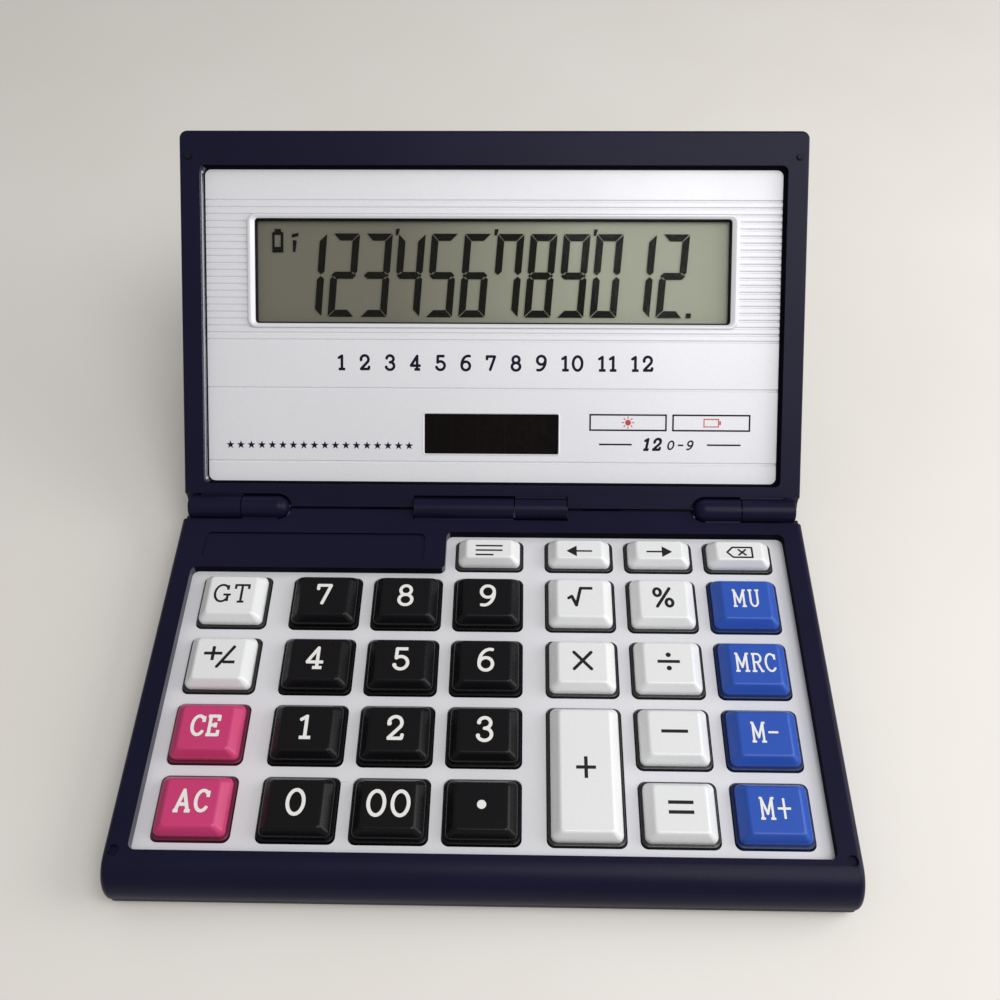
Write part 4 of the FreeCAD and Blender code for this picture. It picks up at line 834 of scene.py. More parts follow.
# Legends on a cap height of 1: lines and bars by their ends, arcs by centre, radii and angles,
# dots by centre and radius, wedges by their corners
GLYPHS: dict[str, list[Stroke]] = {
    "0": [(ARC, 0.34, 0.5, 0.30, 0.46, 0, 360)],
    "1": [(BAR, 0.34, 0.0, 0.34, 0.98), (BAR, 0.12, 0.05, 0.56, 0.05),
          (LINE, 0.34, 0.93, 0.14, 0.80)],
    "2": [(ARC, 0.33, 0.70, 0.25, 0.26, 190, -38), (LINE, 0.53, 0.54, 0.10, 0.08),
          (BAR, 0.04, 0.06, 0.62, 0.06), (LINE, 0.60, 0.08, 0.62, 0.20), (DOT, 0.10, 0.68, 0.09)],
    "3": [(ARC, 0.32, 0.74, 0.23, 0.22, 165, -90), (ARC, 0.32, 0.27, 0.27, 0.25, 90, -165),
          (DOT, 0.10, 0.76, 0.08), (DOT, 0.07, 0.22, 0.08)],
    "4": [(LINE, 0.46, 0.94, 0.06, 0.32), (BAR, 0.02, 0.30, 0.70, 0.30),
          (BAR, 0.46, 0.0, 0.46, 0.96), (BAR, 0.28, 0.05, 0.66, 0.05)],
    "5": [(BAR, 0.12, 0.94, 0.58, 0.94), (LINE, 0.14, 0.94, 0.12, 0.54),
          (ARC, 0.31, 0.31, 0.28, 0.28, 132, -160), (DOT, 0.07, 0.21, 0.08)],
    "6": [(ARC, 0.34, 0.30, 0.27, 0.28, 0, 360), (ARC, 0.50, 0.36, 0.43, 0.60, 180, 78)],
    "7": [(BAR, 0.04, 0.93, 0.64, 0.93), (LINE, 0.60, 0.92, 0.30, 0.06),
          (LINE, 0.08, 0.92, 0.08, 0.76)],
    "8": [(ARC, 0.34, 0.73, 0.22, 0.22, 0, 360), (ARC, 0.34, 0.27, 0.27, 0.25, 0, 360)],
    "9": [(ARC, 0.34, 0.70, 0.27, 0.28, 0, 360), (ARC, 0.18, 0.64, 0.43, 0.60, 0, -102)],
    "A": [(LINE, 0.08, 0.05, 0.38, 0.95), (LINE, 0.38, 0.95, 0.70, 0.05),
          (BAR, 0.20, 0.33, 0.58, 0.33), (BAR, -0.04, 0.04, 0.22, 0.04),
          (BAR, 0.54, 0.04, 0.84, 0.04)],
    "C": [(ARC, 0.38, 0.5, 0.33, 0.45, 42, 318), (BAR, 0.64, 0.66, 0.64, 0.94)],
    "E": [(BAR, 0.14, 0.0, 0.14, 1.0), (BAR, 0.0, 0.05, 0.66, 0.05), (BAR, 0.0, 0.95, 0.64, 0.95),
          (BAR, 0.14, 0.52, 0.46, 0.52), (BAR, 0.62, 0.0, 0.62, 0.28), (BAR, 0.60, 0.72, 0.60, 1.0),
          (BAR, 0.44, 0.40, 0.44, 0.64)],
    "G": [(ARC, 0.38, 0.5, 0.33, 0.45, 42, 330), (BAR, 0.64, 0.68, 0.64, 0.94),
          (BAR, 0.66, 0.06, 0.66, 0.42), (BAR, 0.46, 0.42, 0.80, 0.42)],
    "M": [(BAR, 0.13, 0.0, 0.13, 1.0), (BAR, 0.75, 0.0, 0.75, 1.0), (LINE, 0.13, 0.95, 0.44, 0.25),
          (LINE, 0.44, 0.25, 0.75, 0.95), (BAR, 0.0, 0.04, 0.28, 0.04),
          (BAR, 0.60, 0.04, 0.90, 0.04), (BAR, 0.0, 0.96, 0.14, 0.96),
          (BAR, 0.74, 0.96, 0.90, 0.96)],
    "R": [(BAR, 0.14, 0.0, 0.14, 1.0), (BAR, 0.02, 0.95, 0.38, 0.95),
          (ARC, 0.38, 0.73, 0.23, 0.22, 90, -90), (BAR, 0.14, 0.51, 0.38, 0.51),
          (LINE, 0.36, 0.51, 0.62, 0.06), (BAR, 0.0, 0.04, 0.30, 0.04),
          (BAR, 0.56, 0.04, 0.76, 0.04)],
    "T": [(BAR, 0.36, 0.0, 0.36, 0.96), (BAR, 0.02, 0.95, 0.70, 0.95),
          (BAR, 0.05, 0.74, 0.05, 0.99), (BAR, 0.67, 0.74, 0.67, 0.99),
          (BAR, 0.20, 0.04, 0.52, 0.04)],
    "U": [(BAR, 0.14, 0.34, 0.14, 0.98), (BAR, 0.62, 0.34, 0.62, 0.98),
          (ARC, 0.38, 0.34, 0.24, 0.29, 180, 360), (BAR, 0.0, 0.96, 0.28, 0.96),
          (BAR, 0.48, 0.96, 0.76, 0.96)],
    "+": [(BAR, 0.0, 0.5, 0.80, 0.5), (BAR, 0.40, 0.04, 0.40, 0.96)],
    "-": [(BAR, 0.0, 0.5, 0.62, 0.5)],
    "minus": [(BAR, 0.0, 0.5, 1.1, 0.5)],
    "times": [(LINE, 0.06, 0.1, 0.80, 0.9), (LINE, 0.06, 0.9, 0.80, 0.1)],
    "divide": [(BAR, 0.0, 0.5, 0.96, 0.5), (DOT, 0.48, 0.82, 0.11), (DOT, 0.48, 0.18, 0.11)],
    "equals": [(BAR, 0.0, 0.70, 1.0, 0.70), (BAR, 0.0, 0.30, 1.0, 0.30)],
    "root": [(LINE, 0.0, 0.42, 0.14, 0.52), (LINE, 0.14, 0.52, 0.34, 0.05),
             (LINE, 0.34, 0.05, 0.54, 0.94), (BAR, 0.51, 0.94, 1.08, 0.94)],
    "percent": [(ARC, 0.19, 0.77, 0.15, 0.19, 0, 360), (ARC, 0.71, 0.23, 0.15, 0.19, 0, 360),
                (LINE, 0.16, 0.03, 0.74, 0.97)],
    "point": [(DOT, 0.2, 0.5, 0.17)],
    "sign": [(BAR, 0.0, 0.66, 0.80, 0.66), (BAR, 0.40, 0.32, 0.40, 1.0),
             (LINE, 0.66, 0.02, 1.28, 0.98), (BAR, 0.88, 0.24, 1.40, 0.24)],
    "recall": [(BAR, 0.0, 0.92, 2.1, 0.92), (BAR, 0.0, 0.5, 2.1, 0.5), (BAR, 0.0, 0.08, 1.4, 0.08)],
    "back": [(WEDGE, 0.0, 0.5, 0.8, 0.0, 0.8, 1.0), (BAR, 0.8, 0.5, 2.0, 0.5)],
    "forward": [(WEDGE, 2.0, 0.5, 1.2, 1.0, 1.2, 0.0), (BAR, 0.0, 0.5, 1.2, 0.5)],
    "correct": [(LINE, 0.06, 0.5, 0.5, 0.96), (LINE, 0.5, 0.96, 2.0, 0.96),
                (LINE, 2.0, 0.96, 2.0, 0.04), (LINE, 2.0, 0.04, 0.5, 0.04),
                (LINE, 0.5, 0.04, 0.06, 0.5), (LINE, 0.96, 0.26, 1.5, 0.74),
                (LINE, 0.96, 0.74, 1.5, 0.26)],
}


@dataclass(frozen=True)
class Lettering:
    """Draws legends as filled outlines of strokes.

    Height and weight are in millimetres, the spacing is a share of the height, and narrow is
    the share of the full width that the glyphs keep.
    """

    height: float
    weight: float
    spacing: float = 0.16
    narrow: float = 1.0
    GRID = 0.055
    ARC_STEPS = 40
    # Stands for a depth of zero, so that no outline runs through a grid point
    OFF_GRID = 1e-9

    def strokes(self, legend: Sequence[str]) -> list[Stroke]:
        """Set glyphs side by side and return their strokes in millimetres, centred.

        Args:
            legend: Names of the glyphs, left to right.

        Returns:
            Strokes about the origin.
        """
        row: list[Stroke] = []
        gap = self.spacing + self.weight / self.height / self.narrow
        at = 0.0
        for glyph in legend:
            marks = GLYPHS[glyph]
            left, right = self.spread(marks)
            row += [self.shifted(mark, at - left) for mark in marks]
            at += right - left + gap
        return [self.sized(mark, (at - gap) / 2) for mark in row]

    def spread(self, marks: Sequence[Stroke]) -> tuple[float, float]:
        """Return the least and greatest X of several strokes."""
        reaches = [self.reach(mark) for mark in marks]
        return min(left for left, _ in reaches), max(right for _, right in reaches)

    def reach(self, mark: Stroke) -> tuple[float, float]:
        """Return the least and greatest X of a stroke's centre line."""
        if mark[0] is ARC:
            spots = [x for run in self.lines_of(mark) for x, _ in run]
            return min(spots), max(spots)
        if mark[0] is DOT:
            return mark[1] - mark[3], mark[1] + mark[3]
        return min(mark[1::2]), max(mark[1::2])

    @staticmethod
    def shifted(mark: Stroke, shift: float) -> Stroke:
        """Return a stroke moved along X."""
        values = list(mark)
        last = 2 if mark[0] in (ARC, DOT) else len(values)
        for at in range(1, last, 2):
            values[at] += shift
        return tuple(values)

    def sized(self, mark: Stroke, middle: float) -> Stroke:
        """Return a stroke in millimetres about the legend's middle."""
        values = list(mark)
        places = 3 if mark[0] in (ARC, DOT) else len(values)
        for at in range(1, places):
            values[at] -= middle if at % 2 else 0.5
        angles = 5 if mark[0] is ARC else len(values)
        for at in range(1, angles):
            values[at] *= self.height * (self.narrow if at % 2 and mark[0] is not DOT else 1.0)
        return tuple(values)

    def lines_of(self, mark: Stroke) -> list[tuple[Point, Point]]:
        """Return the straight runs that a round-ended stroke follows."""
        if mark[0] is LINE:
            return [((mark[1], mark[2]), (mark[3], mark[4]))]
        _, x, y, wide, high, first, last = mark
        points = []
        for step in range(self.ARC_STEPS + 1):
            angle = math.radians(first + (last - first) * step / self.ARC_STEPS)
            points.append((x + wide * math.cos(angle), y + high * math.sin(angle)))
        return list(zip(points, points[1:]))

    def depth(self, mark: Stroke, x: np.ndarray, y: np.ndarray) -> np.ndarray:
        """Return the signed distance of grid points from a stroke's edge."""
        half = self.weight / 2
        if mark[0] is DOT:
            return np.hypot(x - mark[1], y - mark[2]) - mark[3]
        if mark[0] is WEDGE:
            corners = [(mark[at], mark[at + 1]) for at in (1, 3, 5)]
            sides = []
            for (ax, ay), (bx, by) in zip(corners, corners[1:] + corners[:1]):
                run = math.hypot(bx - ax, by - ay)
                sides.append(((by - ay) * (x - ax) - (bx - ax) * (y - ay)) / run)
            return np.maximum.reduce(sides)
        if mark[0] is BAR:
            _, ax, ay, bx, by = mark
            run = math.hypot(bx - ax, by - ay)
            along = ((x - (ax + bx) / 2) * (bx - ax) + (y - (ay + by) / 2) * (by - ay)) / run
            across = ((x - ax) * (by - ay) - (y - ay) * (bx - ax)) / run
            return np.maximum(np.abs(along) - run / 2, np.abs(across) - half)
        best = np.full(x.shape, np.inf)
        for (ax, ay), (bx, by) in self.lines_of(mark):
            square = (bx - ax) ** 2 + (by - ay) ** 2
            share = np.clip(((x - ax) * (bx - ax) + (y - ay) * (by - ay)) / square, 0, 1)
            off_x = x - ax - share * (bx - ax)
            off_y = y - ay - share * (by - ay)
            best = np.minimum(best, np.hypot(off_x, off_y))
        return best - half

    def outlines(self, legend: Sequence[str]) -> list[Loop]:
        """Return the closed outlines of a legend, holes included."""
        marks = self.strokes(legend)
        left, right = self.spread(marks)
        tall = self.height / 2 + self.weight
        xs = np.arange(left - self.weight, right + self.weight + self.GRID, self.GRID)
        ys = np.arange(-tall, tall + self.GRID, self.GRID)
        grid_x, grid_y = np.meshgrid(xs, ys, indexing="ij")
        depths = np.minimum.reduce([self.depth(mark, grid_x, grid_y) for mark in marks])
        return contours(np.where(depths == 0, self.OFF_GRID, depths), xs, ys)


def contours(depth: np.ndarray, xs: np.ndarray, ys: np.ndarray) -> list[Loop]:
    """Trace where a field on a grid changes sign.

    Args:
        depth: Field values, indexed by x and y.
        xs: Grid places along X.
        ys: Grid places along Y.

    Returns:
        Closed loops, with points on straight runs left out.
    """
    inside = depth < 0
    points: dict[tuple[int, int, int], Point] = {}
    links: dict[tuple[int, int, int], list] = {}

    def crossing(i: int, j: int, axis: int) -> tuple[int, int, int]:
        """Note where a grid edge crosses the outline and return its key."""
        key = (i, j, axis)
        if key not in points:
            near = depth[i, j]
            far = depth[i + 1, j] if axis == 0 else depth[i, j + 1]
            share = near / (near - far)
            x = xs[i] + (share * (xs[i + 1] - xs[i]) if axis == 0 else 0)
            y = ys[j] + (share * (ys[j + 1] - ys[j]) if axis == 1 else 0)
            points[key] = (float(x), float(y))
        return key

    mixed = inside[:-1, :-1].astype(int) + inside[1:, :-1] + inside[:-1, 1:] + inside[1:, 1:]
    for i, j in np.argwhere((mixed > 0) & (mixed < 4)):
        corners = (inside[i, j], inside[i + 1, j], inside[i + 1, j + 1], inside[i, j + 1])
        edges = [(i, j, 0), (i + 1, j, 1), (i, j + 1, 0), (i, j, 1)]
        cut = [crossing(*edges[at]) for at in range(4) if corners[at] != corners[(at + 1) % 4]]
        pairs = [(cut[0], cut[1])]
        if len(cut) == 4:
            order = (0, 3, 1, 2) if corners[0] else (0, 1, 2, 3)
            first, second, third, fourth = (cut[at] for at in order)
            pairs = [(first, second), (third, fourth)]
        for one, other in pairs:
            links.setdefault(one, []).append(other)
            links.setdefault(other, []).append(one)
    loops = []
    while links:
        start = next(iter(links))
        chain = [start]
        while links.get(chain[-1]):
            after = links[chain[-1]].pop()
            links[after].remove(chain[-1])
            if after == start:
                break
            chain.append(after)
        links = {key: rest for key, rest in links.items() if rest}
        loops.append(straightened([points[key] for key in chain]))
    return loops


STRAIGHT = 0.012


def straightened(loop: Loop) -> Loop:
    """Leave out the points of a loop that lie on straight runs."""
    kept = []
    for at, (x, y) in enumerate(loop):
        ax, ay = loop[at - 1]
        bx, by = loop[(at + 1) % len(loop)]
        turn = (x - ax) * (by - y) - (y - ay) * (bx - x)
        runs = math.hypot(x - ax, y - ay) * math.hypot(bx - x, by - y)
        if abs(turn) > STRAIGHT * runs:
            kept.append((x, y))
    return kept


class Tint(Enum):
    """Key colours: the key's slot and the ink of its legend."""

    BLACK = ("key_black", "ink_white")
    WHITE = ("key_white", "ink_black")
    PINK = ("key_pink", "ink_white")
    BLUE = ("key_blue", "ink_white")


@dataclass
class Key:
    """One key: its node, its legend and its moulded cap."""

    node: str
    legend: tuple[str, ...]
    tint: Tint
    letters: Lettering
    small: bool = False
    flange_side: float = 1.05
    flange_front: float = 1.15
    flange_thick: float = 1.0
    wall: float = 0.5
    hollow_rise: float = 0.35
    plunger_drop: float = 0.5
    foot_step: float = 0.22
    foot_rise: float = 0.5
    cap_inset: float = 0.42
    skirt_rise: float = 1.9
    slope_side: float = 2.0
    slope_front: float = 1.25
    small_slope: float = 1.0
    hollow_round: float = 1.6
    flange_round: float = 1.7
    skirt_round: float = 1.35
    top_round: float = 0.8
    least_round: float = 0.3
    edge: float = 0.42
    ink_thick: float = 0.03
    legend_back: float = 0.35
    small_back: float = -0.6
    FOOT_TURN = 0.7
    ROUND_LOSS = 0.6
    SKIRT_STEPS = 3
    TOP_STEPS = 4

    def build(self, panel_top: float) -> None:
        """Make the key's cap and legend.

        Args:
            panel_top: Height of the keypad panel.
        """
        low, high = local_box(self.node)
        middle = (low + high) / 2
        half_x = (high.x - low.x) / 2 - self.flange_side
        half_y = (high.y - low.y) / 2 - self.flange_front
        levels = self.foot(half_x, half_y, low.z, panel_top)
        levels += self.eased(half_x - self.cap_inset, half_y - self.cap_inset,
                             panel_top + self.skirt_rise, high.z)
        rings = [[Vector((x, y, z)) for x, y in rounded_loop(wide, deep, radius)]
                 for wide, deep, radius, z in levels]
        cap = moved(loft(rings), middle.x, middle.y)
        slot, ink = self.tint.value
        Piece(self.node + "_cap", cap, Place.BASE, slot, slot, self.node, (self.node,)).dress()
        back = self.small_back if self.small else self.legend_back
        plate = outline_mesh(self.letters.outlines(self.legend), 0, self.ink_thick)
        legend = moved(plate, middle.x, middle.y + back, high.z)
        Piece(self.node + "_legend", legend, Place.BASE, ink, slot, self.node, smooth=False).dress()

    def foot(self, half_x: float, half_y: float, low: float, panel_top: float) -> list[Level]:
        """Return the levels of the hollow, the flange and the stepped foot.

        Args:
            half_x: Half width of the skirt.
            half_y: Half depth of the skirt.
            low: Foot of the plunger.
            panel_top: Height of the keypad panel.

        Returns:
            Half width, half depth, corner radius and height of each level.
        """
        flange_low = low + self.plunger_drop
        flange_high = flange_low + self.flange_thick
        wide_x = half_x + self.flange_side
        wide_y = half_y + self.flange_front
        hollow_x = half_x - self.wall
        hollow_y = min(half_y - self.wall, hollow_x)
        foot = panel_top + self.foot_rise
        step = self.foot_step
        turn = step * self.FOOT_TURN
        levels = [
            (hollow_x, hollow_y, self.hollow_round, flange_high + self.hollow_rise),
            (hollow_x, hollow_y, self.hollow_round, flange_low),
            (wide_x, wide_y, self.flange_round, flange_low),
            (wide_x, wide_y, self.flange_round, flange_high),
        ]
        for out, z in ((step, flange_high), (step, foot - step), (turn, foot - step + turn),
                       (0.0, foot)):
            levels.append((half_x + out, half_y + out, self.skirt_round + out, z))
        inset = self.cap_inset
        levels.append((half_x - inset, half_y - inset, self.skirt_round, foot))
        return levels

    def eased(self, half_x: float, half_y: float, skirt_top: float, high: float) -> list[Level]:
        """Return the levels from the skirt over the slope to the top, with rounded turns.

        Args:
            half_x: Half width of the cap.
            half_y: Half depth of the cap.
            skirt_top: Where the slope starts.
            high: Top of the key.

        Returns:
            Half width, half depth, corner radius and height of each level.
        """
        ease = self.edge
        rise = high - skirt_top
        run_y = self.small_slope if self.small else self.slope_front
        turns = []
        for step in range(self.SKIRT_STEPS + 1):
            share = step / self.SKIRT_STEPS
            begun = share ** 2 * ease
            turns.append((begun / rise, skirt_top - ease * (1 - share) ** 2 + begun, 0.0))
        for step in range(self.TOP_STEPS + 1):
            share = step / self.TOP_STEPS
            left = (1 - share) ** 2 * ease
            turns.append((1 - left / rise, high - left, share ** 2 * ease))
        levels = []
        for share, z, past in turns:
            radius = self.skirt_round + (self.top_round - self.skirt_round) * share
            levels.append((half_x - self.slope_side * share - past, half_y - run_y * share - past,
                           max(radius - past * self.ROUND_LOSS, self.least_round), z))
        return levels


DIGITS = Lettering(5.8, 0.8)
SYMBOLS = Lettering(5.4, 0.76)
CAPITALS = Lettering(5.0, 0.76, 0.03, 0.84)
FINE_CAPITALS = Lettering(4.9, 0.5, 0.03, 0.72)
WIDE_CAPITALS = Lettering(5.2, 0.58, 0.05)
FUNCTIONS = Lettering(3.2, 0.46)

KEYS = (
    Key("key_recall", ("recall",), Tint.WHITE, FUNCTIONS, small=True),
    Key("key_back", ("back",), Tint.WHITE, FUNCTIONS, small=True),
    Key("key_forward", ("forward",), Tint.WHITE, FUNCTIONS, small=True),
    Key("key_correct", ("correct",), Tint.WHITE, FUNCTIONS, small=True),
    Key("key_grand_total", ("G", "T"), Tint.WHITE, WIDE_CAPITALS),
    Key("key_seven", ("7",), Tint.BLACK, DIGITS),
    Key("key_eight", ("8",), Tint.BLACK, DIGITS),
    Key("key_nine", ("9",), Tint.BLACK, DIGITS),
    Key("key_root", ("root",), Tint.WHITE, SYMBOLS),
    Key("key_percent", ("percent",), Tint.WHITE, SYMBOLS),
    Key("key_mark_up", ("M", "U"), Tint.BLUE, FINE_CAPITALS),
    Key("key_sign", ("sign",), Tint.WHITE, SYMBOLS),
    Key("key_four", ("4",), Tint.BLACK, DIGITS),
    Key("key_five", ("5",), Tint.BLACK, DIGITS),
    Key("key_six", ("6",), Tint.BLACK, DIGITS),
    Key("key_times", ("times",), Tint.WHITE, SYMBOLS),
    Key("key_divide", ("divide",), Tint.WHITE, SYMBOLS),
    Key("key_memory_recall", ("M", "R", "C"), Tint.BLUE, FINE_CAPITALS),
    Key("key_clear_entry", ("C", "E"), Tint.PINK, CAPITALS),
    Key("key_one", ("1",), Tint.BLACK, DIGITS),
    Key("key_two", ("2",), Tint.BLACK, DIGITS),
    Key("key_three", ("3",), Tint.BLACK, DIGITS),
    Key("key_minus", ("minus",), Tint.WHITE, SYMBOLS),
    Key("key_memory_minus", ("M", "-"), Tint.BLUE, FINE_CAPITALS),
    Key("key_clear_all", ("A", "C"), Tint.PINK, CAPITALS),
    Key("key_zero", ("0",), Tint.BLACK, DIGITS),
    Key("key_double_zero", ("0", "0"), Tint.BLACK, DIGITS),
    Key("key_point", ("point",), Tint.BLACK, DIGITS),
    Key("key_equals", ("equals",), Tint.WHITE, SYMBOLS),
    Key("key_memory_plus", ("M", "+"), Tint.BLUE, FINE_CAPITALS),
    Key("key_plus", ("+",), Tint.WHITE, SYMBOLS),
)


@dataclass
class Keypad:
    """The keys in their silver panel."""

    hole_edge: float = 0.3

    def build(self) -> None:
        """Make the panel with eased holes and every key."""
        top = local_box("keypad_panel")[1].z
        ShellCopy("keypad_panel", Place.BASE, "panel_silver", self.hole_edge,
                  lambda spot: abs(spot.z - top) < LEVEL).build()
        for key in KEYS:
            key.build(top)


@dataclass
class BaseCase:
    """The base's two shells and the lips behind its rear ledge."""

    bezel_edge: float = 0.7
    hinge_keep: float = 5.0
    seam_edge: float = 0.25
    opening_half: float = 75.3
    opening_front: float = -81.0
    lip_from: float = 20.1
    lip_to: float = 53.0
    lip_low: float = -4.0
    lip_high: float = 0.05
    lip_back: float = -5.2
    lip_front: float = -2.5
    lip_edge: float = 0.2
    lip_round: float = 0.3
    lip_steps: int = 3
    bezel_from: float = -20.0
    wall_under: float = 0.5

    def build(self) -> None:
        """Make both shells with eased edges, and the lips."""
        top = max(vert.co.z for vert in frame["nodes"]["base_top_case"].data.vertices
                  if vert.co.y < self.bezel_from * MM) / MM
        rear = lid_matrix().translation.y / MM - self.hinge_keep
        panel = local_box("keypad_panel")[1].z - self.wall_under
        ShellCopy("base_top_case", Place.BASE, "case_navy", self.bezel_edge,
                  lambda spot: abs(spot.z - top) < LEVEL and spot.y < rear, "case_polished",
                  lambda spot: abs(spot.x) < self.opening_half and spot.z > panel
                  and self.opening_front < spot.y < rear).build()
        low = local_box("base_bottom_case")[0].z
        ShellCopy("base_bottom_case", Place.BASE, "case_dark", self.seam_edge,
                  lambda spot: abs(spot.z - low) < LEVEL).build()
        self.lips()

    def lips(self) -> None:
        """Make the two lips that close the slit behind the rear ledge, beside the stop ribs."""
        half_y = (self.lip_high - self.lip_low) / 2
        half_z = (self.lip_front - self.lip_back) / 2
        y = (self.lip_high + self.lip_low) / 2
        z = (self.lip_front + self.lip_back) / 2
        edge = self.lip_edge
        lips = []
        for start, end in ((-self.lip_to, -self.lip_from), (self.lip_from, self.lip_to)):
            rings = []
            for inset, x in ((edge, start), (0.0, start + edge), (0.0, end - edge), (edge, end)):
                loop = rounded_loop(half_y - inset, half_z - inset, self.lip_round, self.lip_steps)
                rings.append([Vector((x, y + a, z + b)) for a, b in loop])
            lips.append(loft(rings))
        Piece("rear_lips", joined(lips), Place.LID, "case_navy", "case_navy", "base").dress()


@dataclass
class LidCase:
    """The lid's frame, back cover, panel rim and hinge caps."""

    face: float = -0.2
    frame_edge: float = 0.75
    opening_half: float = 75.4
    hinge_keep: float = 5.0
    cover_edge: float = 0.25
    wall_deep: float = 3.0
    cap_edge: float = 0.5
    cap_round: float = 3.0
    cap_thick: float = 2.7
    cap_sides: int = 40
    cap_steps: int = 5
    spigot_round: float = 1.6
    spigot_long: float = 1.5
    rim_half: float = 74.78
    rim_near: float = 6.12
    rim_far: float = 87.58
    rim_wide: float = 0.7
    rim_step: float = 0.48
    rim_round: float = 1.6
    rim_top: float = -1.45
    rim_foot: float = -2.57
    rim_steps: int = 8
    # Least X and Z of the normals of the rim's faces that catch the side light and get a painted
    # highlight
    RIM_LIGHT = (0.3, 0.5)

    def build(self) -> None:
        """Make the shells with eased edges, the panel's rim and the hinge's end caps."""
        ShellCopy("lid_frame", Place.LID, "case_navy", self.frame_edge,
                  lambda spot: abs(spot.z - self.face) < LEVEL and spot.y > self.hinge_keep,
                  "case_polished",
                  lambda spot: abs(spot.x) < self.opening_half and spot.y > self.hinge_keep
                  and self.face - self.wall_deep < spot.z).build()
        ShellCopy("lid_back_cover", Place.LID, "case_navy", self.cover_edge,
                  lambda spot: False).build()
        self.rim()
        self.end_caps()

    def rim(self) -> None:
        """Make the sloped rim from the frame's inner wall to the panel, painted shade and
        highlight.
        """
        half_y = (self.rim_far - self.rim_near) / 2
        middle = (self.rim_far + self.rim_near) / 2
        step = self.rim_step
        levels = [(out, self.rim_round, z) for out, z in (
            (0.0, self.rim_foot), (0.0, self.rim_top), (-step, self.rim_top - step),
            (-self.rim_wide, self.rim_foot))]
        mesh = loft(banded(levels, self.rim_half, half_y, middle, self.rim_steps), hollow=True)
        right, out = self.RIM_LIGHT
        bright = {face.index for face in mesh.polygons
                  if face.normal.x > right and face.normal.z > out}
        # Painted shade over the rim, and a painted highlight on the faces towards the side light
        Piece("panel_rim", mesh, Place.LID, "case_matt", "case_navy",
              trims={"case_rim": bright}).dress()

    def end_caps(self) -> None:
        """Make the two caps as turned discs with a rounded rim and their spigots."""
        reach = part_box("hinge_caps")[1].x / MM
        disc = reach - self.cap_thick
        edge = self.cap_edge
        profile = [(self.spigot_round, disc - self.spigot_long), (self.spigot_round, disc),
                   (self.cap_round, disc)]
        for step in range(self.cap_steps + 1):
            angle = math.pi / 2 * step / self.cap_steps
            profile.append((self.cap_round - edge * (1 - math.cos(angle)),
                            reach - edge + edge * math.sin(angle)))
        caps = []
        for side in (1, -1):
            cap = loft(turned(profile, self.cap_sides))
            cap.transform(Matrix(((0, 0, side, 0), (side, 0, 0, 0), (0, 1, 0, 0), (0, 0, 0, 1))))
            caps.append(cap)
        Piece("hinge_end_caps", joined(caps), Place.LID, "case_navy", "case_navy",
              stands_for=("hinge_caps",)).dress()


